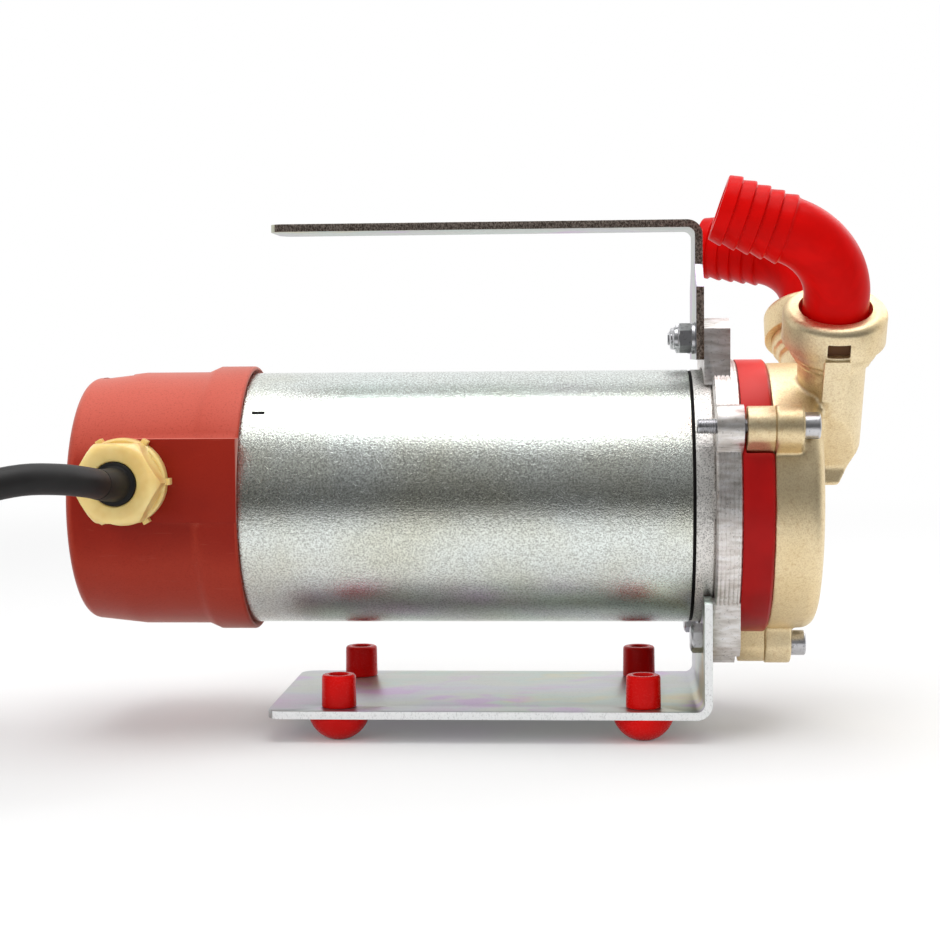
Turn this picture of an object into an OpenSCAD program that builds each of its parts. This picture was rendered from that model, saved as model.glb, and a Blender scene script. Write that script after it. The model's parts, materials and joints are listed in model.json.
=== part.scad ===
// Bench transfer pump: a sealed motor drives a brass side-channel pump head with two hose elbows.
// The motor axis lies along X, the pump head points to +X and the cable leaves towards -Y.
// The origin is on the floor, midway between the four feet and under the motor axis. Millimetres.

/* [Base bracket and feet] */
// Distance between the front and the rear feet
foot_span_x = 117; // [95:1:150]
// Distance between the near and the far feet
foot_span_y = 74; // [64:1:84]
// From the front feet's centres to the rear face of the upright
foot_to_upright = 22.75; // [16:0.25:30]
// From the rear feet's centres to the rear edge of the plate
plate_tail = 26.5; // [16:0.5:40]
// Width of the base bracket
base_w = 97; // [92:1:110]
// Thickness of both sheet brackets
sheet_t = 3; // [2:0.25:4]
// Height of the motor axis above the floor
axis_h = 90.7; // [84:0.1:110]
// Height of the upright's ears above the floor
upright_top = 55; // [44:1:62]
// Diameter of a foot's dome
dome_d = 23.6; // [20:0.2:28]
// Height of a foot's dome below the plate
dome_h = 9.3; // [8:0.1:11]
// Diameter of a foot's stud above the plate
stud_d = 13.4; // [12:0.1:16]
// Height of a foot's stud above the plate
stud_h = 12.6; // [8:0.1:16]
// Bore in a foot's stud
stud_bore_d = 7.3; // [5:0.1:8]

/* [Carry handle] */
// Height of the handle's top face above the motor axis
handle_rise = 108.3; // [100:0.1:130]
// Length of the handle's top plate
handle_len = 169.2; // [120:0.2:190]
// Width of the top plate
handle_w = 32; // [26:1:40]
// Width of the handle's foot
handle_foot_w = 50; // [46:1:60]
// Height of the foot's lower edge above the motor axis
handle_foot_z = 54; // [52:0.5:56]
// Inner bend radius of both brackets
bend_r = 3; // [1:0.5:5]

/* [Motor] */
// Outer diameter of the motor tube
tube_d = 100; // [98:0.5:102]
// Wall of the motor tube
tube_wall = 1.5; // [1:0.1:2]
// Length of bare tube between the rear cover and the gasket
tube_show = 171.8; // [150:0.2:200]
// Thickness of the gasket at the tube's front end
gasket_t = 1.2; // [0.8:0.1:2]
// Visible thickness of the front shield
shield_t = 7.3; // [6:0.1:10]
// Length of the stator core
stator_len = 100; // [60:1:104]
// Bore of the stator core
stator_bore = 52; // [48:0.5:56]
// Diameter of the shaft in its bearings
shaft_d = 15; // [14:0.1:16]
// Outer diameter of a bearing
bearing_d = 35; // [33:0.5:40]
// Width of a bearing
bearing_w = 11; // [9:0.5:12]

/* [Rear cover] */
// Length of the rear cover
cover_len = 67.2; // [62:0.2:80]
// Outer diameter of the cover's collar
collar_d = 105.4; // [104.6:0.2:108]
// Length of the collar
collar_len = 13.8; // [12:0.2:20]
// Outer diameter of the cover behind the collar
cover_d = 101; // [100.4:0.2:102]
// Outer diameter at the rear edge
cover_rear_d = 97; // [94:0.2:99]
// Wall of the cover
cover_wall = 2.5; // [2:0.1:3]
// Width of the flat boss under the cable gland
boss_w = 31.7; // [30:0.1:33.5]
// From the collar's lip back to the gland's axis
gland_back = 42.2; // [38:0.2:43]
// Height of the gland above the motor axis
gland_up = 10; // [6:0.5:12]

/* [Pump head] */
// Thickness of the machined adapter flange
adapter_t = 9.9; // [8:0.1:14]
// Diameter of the adapter flange
adapter_d = 108; // [104:0.5:112]
// Width of the red spacer ring
ring_w = 11.7; // [10.8:0.1:14]
// Diameter of the red spacer ring
ring_d = 107.8; // [106:0.2:110]
// Depth of the front casing
casing_t = 18.9; // [17.6:0.1:22]
// Diameter of the front casing
casing_d = 104.8; // [103:0.2:106]
// Diameter of the bolt circle
bolt_pcd = 117.8; // [116:0.2:122]
// Nominal diameter of the casing bolts
bolt_d = 6; // [5:0.5:7]
// Outer diameter of the impeller
impeller_d = 85.6; // [80:0.2:87]
// Width of the impeller
impeller_w = 11.7; // [10:0.1:12]
// Number of impeller vanes
vane_count = 20; // [12:1:24]

/* [Ports and elbows] */
// Lean of each port from the vertical
port_lean = 30; // [26:1:36]
// From the front face of the casing to the port axes
port_out = 4.2; // [2:0.2:6]
// Diameter of a port's neck
port_d = 25.7; // [24:0.1:27]
// From the motor axis to the sealing face of a port
port_reach = 75; // [73:0.5:85]
// Diameter of a port's thread
port_thread_d = 33.2; // [32.4:0.1:34]
// Outer diameter of a union nut
nut_d = 38.9; // [37.6:0.1:42]
// Outer diameter of an elbow's tube
elbow_d = 24.5; // [22:0.1:26]
// Bore of an elbow
elbow_bore = 17; // [12:0.5:18]
// Bend radius of an elbow's centre line
elbow_r = 26.6; // [20:0.2:32]
// Angle that an elbow turns the flow through
elbow_turn = 74; // [60:1:90]
// Rest position of the elbows about their ports
elbow_swivel = -10; // [-20:1:0]
// Diameter over the hose barbs
barb_d = 26.4; // [25:0.1:28]
// Length of the barbed tail
barb_len = 26.5; // [22:0.5:36]
// Number of hose barbs
barb_count = 5; // [3:1:7]

/* [Cable] */
// Diameter of the cable
cable_d = 11; // [8:0.5:11.5]
// Diameter of the coil across the middle of its turns
coil_d = 118; // [110:1:132]
// Turns in the coil
coil_turns = 3; // [2:1:6]

/* [Hidden] */
$fn = 96;

// Fits and overruns
fit = 0.05;
soft_gap = 0.3;
over = 1;
small_fn = 48;

// Stations along the motor axis, from the upright's front face
x_pad = foot_span_x / 2 + foot_to_upright + sheet_t;
pad_step = 1.3;
ear_step = 1.8;
x_ear = x_pad - ear_step;
x_joint = x_pad + pad_step;
x_ring = x_joint + adapter_t;
x_body = x_ring + ring_w;
x_front = x_body + casing_t;
x_shield = x_joint - shield_t;
x_tube_front = x_shield - gasket_t;
x_lip = x_tube_front - tube_show;
cover_lap = 10;
x_tube_rear = x_lip - cover_lap;
x_rear = x_lip - cover_len;
port_x = x_front + port_out;

tube_r = tube_d / 2;
tube_in = tube_r - tube_wall;
z_plate = dome_h;
z_plate_top = dome_h + sheet_t;

// Base bracket
plate_corner = 6;
ear_corner = 5;
shield_clear = 1;
neck_d = 9.4;
base_bolt_y = 28;
base_bolt_drop = 53.1;
hex_head_af = 10;
hex_head_h = 4.6;
base_bolt_len = 11.5;
bolt_play = 0.4;

// Feet
foot_flat = 0.5;
stud_bore_depth = 15;
stud_edge = 0.8;

// Handle
handle_corner = 6;
shoulder_z = 82;
handle_stud_y = 15;
handle_stud_z = 62.4;
handle_stud_len = 20;
handle_stud_out = 9.5;
washer_d = 12.5;
washer_t = 1.5;
nut_af = 10;
nut_h = 5;
collar_nut_h = 2;

// Motor
tube_gasket_wall = 1.1;
spigot_len = 10;
shield_r = tube_r;
shield_edge = 0.8;
spigot_wall = 6;
bearing_wall = 5;
bearing_r = bearing_d / 2;
bearing_bore_r = shaft_d / 2 + fit;
web_t = 5;
shaft_hole_gap = 1;
pocket_floor_t = 3;
wave_gap = 1;
shoulder_gap = 0.2;
bearing_groove_in = 10.5;
bearing_groove_out = 14.5;
bearing_groove_deep = 0.8;
drain_count = 4;
drain_w = 10.4;
drain_depth = 0.8;
drain_len = 1.2;
rear_shield_t = 6;
rear_rim_len = 12;
stator_x = -60;
slot_count = 24;
slot_root_r = 38;
slot_w = 3.6;
slot_mouth_w = 1.8;
slot_lip = 1.2;
coil_head_len = 16;
coil_head_clear = 3;
slot_fill_gap = 0.3;
rod_d = 5;
rod_count = 4;
rod_start_angle = 45;
rod_inset = 5.2;
rod_play = 0.3;
rod_head_d = 8;
rod_head_h = 4;
rod_grip = 7;
air_gap = 0.4;
cage_ring_t = 6;
cage_vane_count = 8;
cage_vane_t = 2.4;
cage_vane_len = 6;
shaft_step = 4;
seal_shaft_d = 12;
shaft_chamfer = 0.6;
wave_t = 0.6;
wave_w = 4;
winding_round = 4;
winding_slot_gap = 0.3;
rear_pocket_x = x_tube_rear + pocket_floor_t;
rear_bearing_x = rear_pocket_x + wave_gap;
front_pocket_x = x_joint - web_t;
front_bearing_x = front_pocket_x - bearing_w;
rod_ring_r = tube_in - rod_inset;
rotor_r = stator_bore / 2 - air_gap;
shaft_mid_d = shaft_d + shaft_step;

// Rear cover
lip_r = 1.2;
lip_flare = 1.4;
lip_flare_len = 3;
collar_slope = 5;
cover_taper_len = 18;
cover_edge = 4.5;
boss_half = boss_w / 2;
boss_y = collar_d / 2;
catch_w = 14;
catch_len = 12.4;
catch_deep = 0.9;
catch_from_rear = 5.8;
column_z = 34;
column_d = 11;
column_floor = 8;
column_screw_d = 4;
column_head_d = 8;
column_head_h = 3;
column_head_gap = 0.3;
screw_len = 13;
switch_cut_w = 21.4;
switch_cut_h = 28;
switch_recess = 5;
switch_bezel_w = 25;
switch_bezel_h = 31.6;
switch_bezel_t = 2;
switch_bezel_edge = 0.8;
switch_bezel_gap = 0.4;
switch_depth = 19;
rocker_w = 14.6;
rocker_r = 12.3;
rocker_gap = 0.35;
rocker_axle_d = 3;
rocker_axle_len = 1.6;
rocker_axle_deep = 5;
rocker_back = 3;
rocker_cavity = 12;
rocker_dish_r = 26;
rocker_proud = 2.4;
tab_t = 0.8;
tab_w = 4.8;
tab_len = 8;
tab_step = 8;
capacitor_d = 24;
capacitor_len = 42;
capacitor_y = 27.8;
capacitor_z = -14;
capacitor_edge = 1.5;
terminal_len = 30;
terminal_h = 14;
terminal_t = 12;
terminal_back = 19.7;
terminal_near = boss_y - terminal_back;
terminal_screw_d = 4;
terminal_screw_deep = 3;
terminal_count = 3;

// Pump head
ear_half = 25;
ear_top = 70;
ear_t = 10;
ear_chamfer_y = 9;
ear_chamfer_z = 4;
pad_half = 37;
pad_bottom = 59.5;
pad_top = 38;
pad_chamfer = 4.5;
lug_r = 8;
lug_angles = [30, 150, 270];
head_d = 10;
head_h = 6;
hex_socket_af = 5;
hex_socket_depth = 3;
bolt_len = 39.5;
bolt_edge = 0.6;
ring_web = 1.2;
ring_edge = 1;
lug_notch_gap = 0.3;
adapter_bore_r = 14;
adapter_edge = 0.8;
lug_t = 10.5;
lug_face_step = 0.6;
ring_wall = 3.6;
body_r = ring_d / 2 - ring_wall;
seal_pocket_r = 13;
seal_pocket_t = 6.2;
seal_wall_hole_r = 9;
seal_ring_t = 6;
seal_groove_deep = 3;
seal_groove_in = 8;
seal_groove_out = 11;
chamber_back = 7.1;
chamber_clear = 0.2;
channel_in = 31;
channel_out = 42.3;
channel_deep_front = 5;
channel_deep_back = 2;
casing_edge = 5.5;
seal_cord_d = 2.6;
seal_wall = 3.7;
seal_ring_r = body_r - seal_wall;
hub_r = 13;
vane_root_r = 24;
vane_t = 2.6;
vane_web_t = 6;
web_ring_r = 21;
impeller_tip_gap = 0.5;
shaft_nose_gap = 0.5;
key_w = 4;
key_h = 4;
key_len = 9;
turn_grooves = 5;
groove_w = 0.5;
groove_deep = 0.35;

// Ports
port_neck_len = 17.5;
port_round_s = port_reach - port_neck_len;
duct_foot_s = 41;
duct_bore_r = 9;
duct_bore_s = 40;
cross_bore_r = 6.5;
cross_bore_s = 37;
manifold_out = 3.2;
chin_half = 12;
chin_top = 11;
chin_bottom = 4.6;
chin_slope_z = 24;
chin_slope_x = 9;
thread_len = 9;
thread_chamfer = 1;
collar_port_d = 29.5;
collar_port_t = 3.2;
gasket_face_t = 2;
gasket_port_r = 15.6;
nut_pitch_gap = 0.1;
flange_t = 3;
nut_skirt = 10;
nut_below = 3.6;
nut_dome = 3.2;
nut_hole_play = 1.5;
nut_slot_w = 8;
nut_slot_h = 4.2;
nut_slot_up = 3.4;
nut_slot_deep = 1.4;
nut_tab_h = 5.6;
nut_tab_t = 2.4;
flange_r = 16.3;
leg_end_s = 89.5;
barb_root_d = 23;
barb_mouth_d = 22.8;

// Cable gland
gland_thread_d = 20;
gland_tail = 18;
gland_seat_deep = 12.7;
gland_seat_in = boss_y - gland_seat_deep;
gland_seat_r = 15;
gland_bore_d = 12.4;
gland_sleeve_len = 8;
gland_flange_d = 33;
gland_flange_t = 5;
gland_nib = 1.6;
gland_nib_w = 2.4;
gland_nut_af = 29.5;
gland_nut_len = 12.2;
gland_nut_edge = 3;
gland_nib_count = 6;
gland_mouth_d = 14;
gland_mouth_lip = 2;
gland_seal_r = 9.2;
locknut_af = 26;
locknut_t = 4;

// Cable: free stretch from the terminals through the gland to the coil, and from the coil to the plug
cable_r = cable_d / 2;
cable_sides = 10;
lead_points = [[-137, -33, 100.7], [-137, -55, 100.7], [-137, -72, 100.7], [-137.5, -86, 101.6],
    [-140, -100, 103.6], [-146, -114, 105.4], [-155, -126, 105.9], [-166.5, -136, 103.5],
    [-179, -143, 98], [-191, -146.5, 89.4], [-201.5, -148, 78.4], [-211, -148, 66.7],
    [-221, -147.3, 55], [-231, -146.2, 43.4], [-242, -144.2, 32.7], [-254.5, -141.3, 24.8],
    [-268, -137.2, 20], [-282.5, -131.5, 18.2], [-292.5, -127, 18.2]];
tail_turns = [[-336, -106.5, 6.8], [-348, -97.5, 8.5], [-358, -86.5, 11.7], [-366.5, -74, 15.2],
    [-373, -60.5, 18], [-377, -46.5, 19.1], [-379.2, -35.5, 19.1]];
coil_loop_rings = 24;
coil_sides = 6;
coil_pitch = 11.9;
coil_layer = 11.6;
coil_floor = 1.1;
tie_turn = 60;
tie_w = 10;
tie_t = 0.8;
tie_gap = 0.6;
tie_fn = 24;

// Plug
plug_head_d = 38;
plug_head_len = 16;
plug_grip_d = 14.4;
plug_grip_end_d = 19;
plug_grip_len = 26;
plug_shoulder_len = 10;
plug_edge = 2;
plug_cheek_w = 30;
pin_d = 4.8;
pin_len = 19;
pin_gap = 19;
pin_deep = 8;
pin_tail_d = 4;
pin_neck_len = 0.3;

// Round shapes about the motor axis, drawn as [radius, station]
module spin_x(angle = 360) {
    translate([0, 0, axis_h]) rotate([0, 90, 0]) rotate_extrude(angle = angle) children();
}

// A flat outline in Y and Z about the motor axis, carried along X
module carry_x(x, len) {
    translate([x, 0, axis_h]) rotate([90, 0, 90]) linear_extrude(len) children();
}

// A flat outline in X and Z, carried along Y about the middle plane
module carry_y(w) {
    rotate([90, 0, 0]) linear_extrude(w, center = true) children();
}

// A bar along X at a place in Y and Z about the motor axis
module bar_x(x, len, r, y = 0, z = 0) {
    translate([x, y, axis_h + z]) rotate([0, 90, 0]) cylinder(h = len, r = r);
}

// A hexagon bar along X, across flats af
module hex_x(x, len, af, y = 0, z = 0, turn = 0) {
    translate([x, y, axis_h + z]) rotate([0, 90, 0]) rotate([0, 0, turn])
        cylinder(h = len, r = af / 2 / cos(30), $fn = 6);
}

module ring_profile(r_in, r_out, x0, x1) {
    translate([r_in, x0]) square([r_out - r_in, x1 - x0]);
}

// A rectangle with round corners, about its centre
module soft_rect(w, h, r) {
    square([w - 2 * r, h], center = true);
    square([w, h - 2 * r], center = true);
    for (sx = [-1, 1], sy = [-1, 1])
        translate([sx * (w / 2 - r), sy * (h / 2 - r)]) circle(r = r, $fn = small_fn);
}

// Lugs stand on the bolt circle of the pump head
module lug_outline(r) {
    for (a = lug_angles) rotate(180 - a) {
        translate([bolt_pcd / 2, 0]) circle(r = r, $fn = small_fn);
        translate([bolt_pcd / 2 - 2 * r, -r]) square([2 * r, 2 * r]);
    }
}

module lug_bars(x, len, r) {
    for (a = lug_angles)
        bar_x(x, len, r, -bolt_pcd / 2 * cos(a), bolt_pcd / 2 * sin(a));
}

// An L of sheet in X and Z: a level leg at the top or bottom and an upright at the right
module sheet_angle(len, height, t, r) {
    square([len - t - r, t]);
    translate([len - t, t + r]) square([t, height - t - r]);
    translate([len - t - r, t + r]) intersection() {
        difference() {
            circle(r = r + t, $fn = small_fn);
            circle(r = r, $fn = small_fn);
        }
        translate([0, -r - t]) square([r + t, r + t]);
    }
}

// A turned pin about Z with a chamfered far end, drawn as [radius, height]
module pin_profile(r, h, edge) {
    polygon([[0, 0], [r, 0], [r, h - edge], [r - edge, h], [0, h]]);
}

// Frame of a port: Z runs out along the port's axis
module at_port(side) {
    translate([port_x, 0, axis_h]) rotate([-side * port_lean, 0, 0]) children();
}

// Bracket under the motor: plate, bend and an upright cut round the front shield
module base_bracket() {
    plate_x = -foot_span_x / 2 - plate_tail;
    plate_len = x_pad - plate_x;
    color("gainsboro") difference() {
        intersection() {
            translate([plate_x, 0, z_plate]) carry_y(base_w)
                sheet_angle(plate_len, upright_top - z_plate, sheet_t, bend_r);
            translate([plate_x + plate_len / 2 + plate_corner, 0, z_plate - over])
                linear_extrude(upright_top) soft_rect(plate_len + 2 * plate_corner, base_w, plate_corner);
            translate([plate_x - over, 0, 0]) rotate([90, 0, 90]) linear_extrude(plate_len + 2 * over)
                translate([0, upright_top / 2]) soft_rect(base_w, upright_top, ear_corner);
        }
        bar_x(x_pad - sheet_t - over, sheet_t + 2 * over, shield_r + shield_clear);
        for (sx = [-1, 1], sy = [-1, 1])
            translate([sx * foot_span_x / 2, sy * foot_span_y / 2, z_plate - over])
                cylinder(h = sheet_t + 2 * over, d = neck_d + 2 * fit);
        for (sy = [-1, 1])
            bar_x(x_pad - sheet_t - over, sheet_t + 2 * over, (bolt_d + bolt_play) / 2,
                sy * base_bolt_y, -base_bolt_drop);
        bar_x(x_pad - sheet_t - over, sheet_t + 2 * over, bolt_d / 2 + bolt_play, 0, -bolt_pcd / 2);
    }
}

// Rubber foot: a dome on the floor, a neck through the plate and a bored stud above it
module foot(sx, sy) {
    cap_h = dome_h + foot_flat;
    ball_r = (dome_d * dome_d / 4 + cap_h * cap_h) / 2 / cap_h;
    color("firebrick") translate([sx * foot_span_x / 2, sy * foot_span_y / 2, 0])
        rotate_extrude() difference() {
            union() {
                intersection() {
                    translate([0, ball_r - foot_flat]) circle(r = ball_r);
                    square([dome_d / 2, dome_h]);
                }
                translate([0, dome_h - over]) square([neck_d / 2, sheet_t + 2 * over]);
                translate([0, z_plate_top]) pin_profile(stud_d / 2, stud_h, stud_edge);
            }
            translate([0, z_plate_top + stud_h - stud_bore_depth])
                square([stud_bore_d / 2, stud_bore_depth + over]);
        }
}

module foot_near_rear() { foot(-1, -1); }
module foot_near_front() { foot(1, -1); }
module foot_far_rear() { foot(-1, 1); }
module foot_far_front() { foot(1, 1); }

// Two hexagon bolts hold the upright to the flange's pad
module base_bolts() {
    seat = x_pad - sheet_t;
    color("silver") for (sy = [-1, 1]) {
        hex_x(seat - hex_head_h, hex_head_h, hex_head_af, sy * base_bolt_y, -base_bolt_drop);
        bar_x(seat - hex_head_h / 2, base_bolt_len + hex_head_h / 2, bolt_d / 2,
            sy * base_bolt_y, -base_bolt_drop);
    }
}

// Carry handle: a level plate, a bend and a narrow upright that widens to its foot
module handle_bracket() {
    shoulder = (handle_foot_w - handle_w) / 2;
    half = handle_w / 2;
    foot_half = handle_foot_w / 2;
    x_end = x_ear - handle_len;
    color("gainsboro") difference() {
        intersection() {
            translate([x_end, 0, axis_h + handle_rise]) mirror([0, 0, 1]) carry_y(handle_foot_w)
                sheet_angle(handle_len, handle_rise - handle_foot_z, sheet_t, bend_r);
            carry_x(x_end - over, handle_len + 2 * over) polygon([[-foot_half, handle_foot_z],
                [foot_half, handle_foot_z], [foot_half, shoulder_z], [half, shoulder_z + shoulder],
                [half, handle_rise], [-half, handle_rise], [-half, shoulder_z + shoulder],
                [-foot_half, shoulder_z]]);
            translate([0, 0, axis_h + handle_foot_z]) linear_extrude(handle_rise) {
                translate([x_end + handle_len / 2, 0]) soft_rect(handle_len, handle_w, handle_corner);
                translate([x_ear - handle_foot_w, -foot_half]) square([handle_foot_w, handle_foot_w]);
            }
        }
        for (sy = [-1, 1])
            bar_x(x_ear - sheet_t - over, sheet_t + 2 * over, (bolt_d + bolt_play) / 2,
                sy * handle_stud_y, handle_stud_z);
    }
}

// Studs screwed into the flange's ear carry the handle
module handle_studs() {
    color("silver") for (sy = [-1, 1])
        translate([x_ear - sheet_t - handle_stud_out + handle_stud_len, sy * handle_stud_y,
            axis_h + handle_stud_z]) rotate([0, -90, 0])
                rotate_extrude() pin_profile(bolt_d / 2, handle_stud_len, bolt_edge);
}

module handle_nuts() {
    seat = x_ear - sheet_t - washer_t;
    color("lightgray") for (sy = [-1, 1]) difference() {
        union() {
            bar_x(seat, washer_t, washer_d / 2, sy * handle_stud_y, handle_stud_z);
            hex_x(seat - nut_h, nut_h, nut_af, sy * handle_stud_y, handle_stud_z);
            bar_x(seat - nut_h - collar_nut_h, collar_nut_h, nut_af / 2 - bolt_edge,
                sy * handle_stud_y, handle_stud_z);
        }
        bar_x(seat - nut_h - collar_nut_h - over, nut_h + collar_nut_h + washer_t + 2 * over,
            bolt_d / 2 + fit, sy * handle_stud_y, handle_stud_z);
    }
}

module motor_tube() {
    color("silver") spin_x() ring_profile(tube_in, tube_r, x_tube_rear, x_tube_front);
}

module tube_gasket() {
    color("darkred") spin_x() ring_profile(tube_in, tube_in + tube_gasket_wall, x_tube_front, x_shield);
}

// Bars on the tie rods' places, for the rods, their heads or the holes that take them
module rod_cuts(x, len, r) {
    for (i = [0 : rod_count - 1]) {
        a = rod_start_angle + i * 360 / rod_count;
        bar_x(x, len, r, rod_ring_r * cos(a), rod_ring_r * sin(a));
    }
}

// Front shield: flange against the tube, spigot inside it and a hub with the bearing's pocket
module front_shield() {
    spigot_r = tube_in - fit;
    color("darkgray") difference() {
        union() {
            spin_x() polygon([[0, x_shield], [shield_r, x_shield], [shield_r, x_joint - shield_edge],
                [shield_r - shield_edge, x_joint], [0, x_joint]]);
            spin_x() ring_profile(spigot_r - spigot_wall, spigot_r, x_shield - spigot_len,
                x_shield + over);
            bar_x(front_bearing_x, x_shield + over - front_bearing_x, bearing_r + bearing_wall);
        }
        bar_x(front_bearing_x - over, bearing_w + over, bearing_r + fit);
        bar_x(front_pocket_x - over, web_t + 2 * over, shaft_d / 2 + shaft_hole_gap);
        rod_cuts(x_shield - spigot_len - over, spigot_len + shield_t + 2 * over, rod_d / 2 + rod_play);
        translate([0, 0, axis_h]) for (i = [0 : drain_count - 1]) rotate([i * 360 / drain_count, 0, 0])
            translate([x_joint - drain_len, -shield_r - over, -drain_w / 2])
                cube([drain_len + over, drain_depth + over, drain_w]);
    }
}

// Rear shield: a disc in the tube's end with a rim and a hub for the rear bearing
module rear_shield() {
    rim_r = tube_in - fit;
    color("darkgray") difference() {
        union() {
            bar_x(x_tube_rear, rear_shield_t, rim_r);
            spin_x() ring_profile(rim_r - spigot_wall / 2, rim_r, x_tube_rear, x_tube_rear + rear_rim_len);
            bar_x(x_tube_rear, rear_bearing_x + bearing_w - x_tube_rear, bearing_r + bearing_wall);
        }
        bar_x(rear_pocket_x, rear_bearing_x + bearing_w - rear_pocket_x + over, bearing_r + fit);
        rod_cuts(x_tube_rear - over, rear_rim_len + 2 * over, rod_d / 2 + rod_play);
        for (s = [-1, 1])
            bar_x(x_tube_rear - over, rear_shield_t + 2 * over, column_screw_d / 2 + fit, 0, s * column_z);
    }
}

// Long screws that clamp shield, stator and shield to the flange
module tie_rods() {
    color("silver") {
        rod_cuts(x_tube_rear - rod_head_h, rod_head_h, rod_head_d / 2);
        rod_cuts(x_tube_rear - rod_head_h / 2, x_joint + rod_grip - x_tube_rear + rod_head_h / 2, rod_d / 2);
    }
}

// One winding slot, drawn in Y and Z: a narrow mouth at the bore and a wide pocket behind it
module slot_outline(gap, r_in) {
    for (i = [0 : slot_count - 1]) rotate(i * 360 / slot_count) {
        translate([stator_bore / 2 + slot_lip + gap, -slot_w / 2 + gap])
            square([slot_root_r - stator_bore / 2 - slot_lip - 2 * gap, slot_w - 2 * gap]);
        translate([r_in, -slot_mouth_w / 2])
            square([stator_bore / 2 + slot_lip + over - r_in, slot_mouth_w]);
    }
}

module stator_core() {
    color("dimgray") difference() {
        carry_x(stator_x, stator_len) difference() {
            circle(r = tube_in - fit);
            circle(r = stator_bore / 2);
            slot_outline(0, stator_bore / 2 - over);
        }
        rod_cuts(stator_x - over, stator_len + 2 * over, rod_d / 2 + rod_play);
    }
}

// Copper winding: a bar in every slot and a round-edged head on each side
module windings() {
    head_in = stator_bore / 2 + coil_head_clear;
    head_w = slot_root_r - winding_slot_gap - head_in;
    color("peru") {
        for (end = [0, 1]) translate([0, 0, axis_h]) rotate([0, 90, 0]) rotate_extrude()
            translate([head_in + head_w / 2, end == 0 ? stator_x - winding_slot_gap - coil_head_len / 2
                : stator_x + stator_len + winding_slot_gap + coil_head_len / 2])
                soft_rect(head_w, coil_head_len, winding_round);
        carry_x(stator_x - coil_head_len / 2, stator_len + coil_head_len)
            for (i = [0 : slot_count - 1]) rotate(i * 360 / slot_count)
                translate([head_in + winding_slot_gap, -slot_w / 2 + slot_fill_gap])
                    square([head_w - 2 * winding_slot_gap, slot_w - 2 * slot_fill_gap]);
    }
}

module rotor_core() {
    color("slategray") spin_x() ring_profile(shaft_mid_d / 2 + fit, rotor_r, stator_x, stator_x + stator_len);
}

// Short-circuit rings with small fan blades at both ends of the rotor
module rotor_cage() {
    ring_in = rotor_r - cage_ring_t;
    color("lightsteelblue") for (end = [-1, 1]) {
        x0 = end < 0 ? stator_x - cage_ring_t : stator_x + stator_len;
        spin_x() ring_profile(ring_in, rotor_r, x0, x0 + cage_ring_t);
        carry_x(end < 0 ? x0 - cage_vane_len : x0 + cage_ring_t - over, cage_vane_len + over)
            for (i = [0 : cage_vane_count - 1]) rotate(i * 360 / cage_vane_count)
                translate([ring_in + fit, -cage_vane_t / 2])
                    square([cage_ring_t - 4 * fit, cage_vane_t]);
    }
}

// Stepped shaft: bearing seats, a thicker middle under the core and a thin nose in the pump
module rotor_shaft() {
    nose = x_ring + chamber_back + chamber_clear + impeller_w - shaft_nose_gap;
    mid0 = rear_bearing_x + bearing_w + shoulder_gap;
    mid1 = front_bearing_x - shoulder_gap;
    color("silver") difference() {
        spin_x() polygon([[0, rear_bearing_x], [shaft_d / 2 - shaft_chamfer, rear_bearing_x],
            [shaft_d / 2, rear_bearing_x + shaft_chamfer], [shaft_d / 2, mid0],
            [shaft_mid_d / 2, mid0], [shaft_mid_d / 2, mid1], [shaft_d / 2, mid1],
            [shaft_d / 2, x_joint], [seal_shaft_d / 2, x_joint],
            [seal_shaft_d / 2, nose - shaft_chamfer], [seal_shaft_d / 2 - shaft_chamfer, nose], [0, nose]]);
        translate([nose - key_len - shaft_nose_gap, -key_w / 2 - fit, axis_h + seal_shaft_d / 2 - key_h / 2 - fit])
            cube([key_len + shaft_nose_gap + over, key_w + 2 * fit, key_h]);
    }
}

// Ball bearing with shields set back between its rings
module bearing(x) {
    color("gainsboro") spin_x() difference() {
        ring_profile(bearing_bore_r, bearing_r, x, x + bearing_w);
        for (x1 = [x - over, x + bearing_w - bearing_groove_deep])
            ring_profile(bearing_groove_in, bearing_groove_out, x1, x1 + bearing_groove_deep + over);
    }
}

module front_bearing() { bearing(front_bearing_x); }
module rear_bearing() { bearing(rear_bearing_x); }

module wave_washer() {
    lift = (wave_gap - wave_t) / 2;
    color("darkgray") spin_x() ring_profile(bearing_r - wave_w, bearing_r, rear_pocket_x + lift,
        rear_pocket_x + lift + wave_t);
}

// Outline of the rear cover, drawn as [radius, station]
module cover_outline() {
    cr = collar_d / 2;
    br = cover_d / 2;
    rr = cover_rear_d / 2;
    polygon([[0, x_rear], [rr - cover_edge, x_rear], [rr, x_rear + cover_edge],
        [br, x_rear + cover_edge + cover_taper_len], [br, x_lip - collar_len - collar_slope],
        [cr, x_lip - collar_len], [cr, x_lip - lip_r], [cr - lip_r, x_lip], [0, x_lip]]);
    translate([rr - cover_edge, x_rear + cover_edge]) circle(r = cover_edge, $fn = small_fn);
    translate([cr - lip_r, x_lip - lip_r]) circle(r = lip_r, $fn = small_fn);
}

// Space inside the rear cover: the cavity, the seat of the tube and the flared lip
module cover_space() {
    wall_r = cover_d / 2 - cover_wall;
    rear_r = cover_rear_d / 2 - cover_wall;
    seat_r = tube_r + fit;
    polygon([[0, x_rear + cover_wall], [rear_r - cover_wall, x_rear + cover_wall],
        [rear_r, x_rear + 2 * cover_wall], [wall_r, x_rear + cover_edge + cover_taper_len],
        [wall_r, x_tube_rear], [seat_r, x_tube_rear], [seat_r, x_lip - lip_flare_len],
        [seat_r + lip_flare, x_lip], [seat_r + lip_flare, x_lip + over], [0, x_lip + over]]);
}

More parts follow.
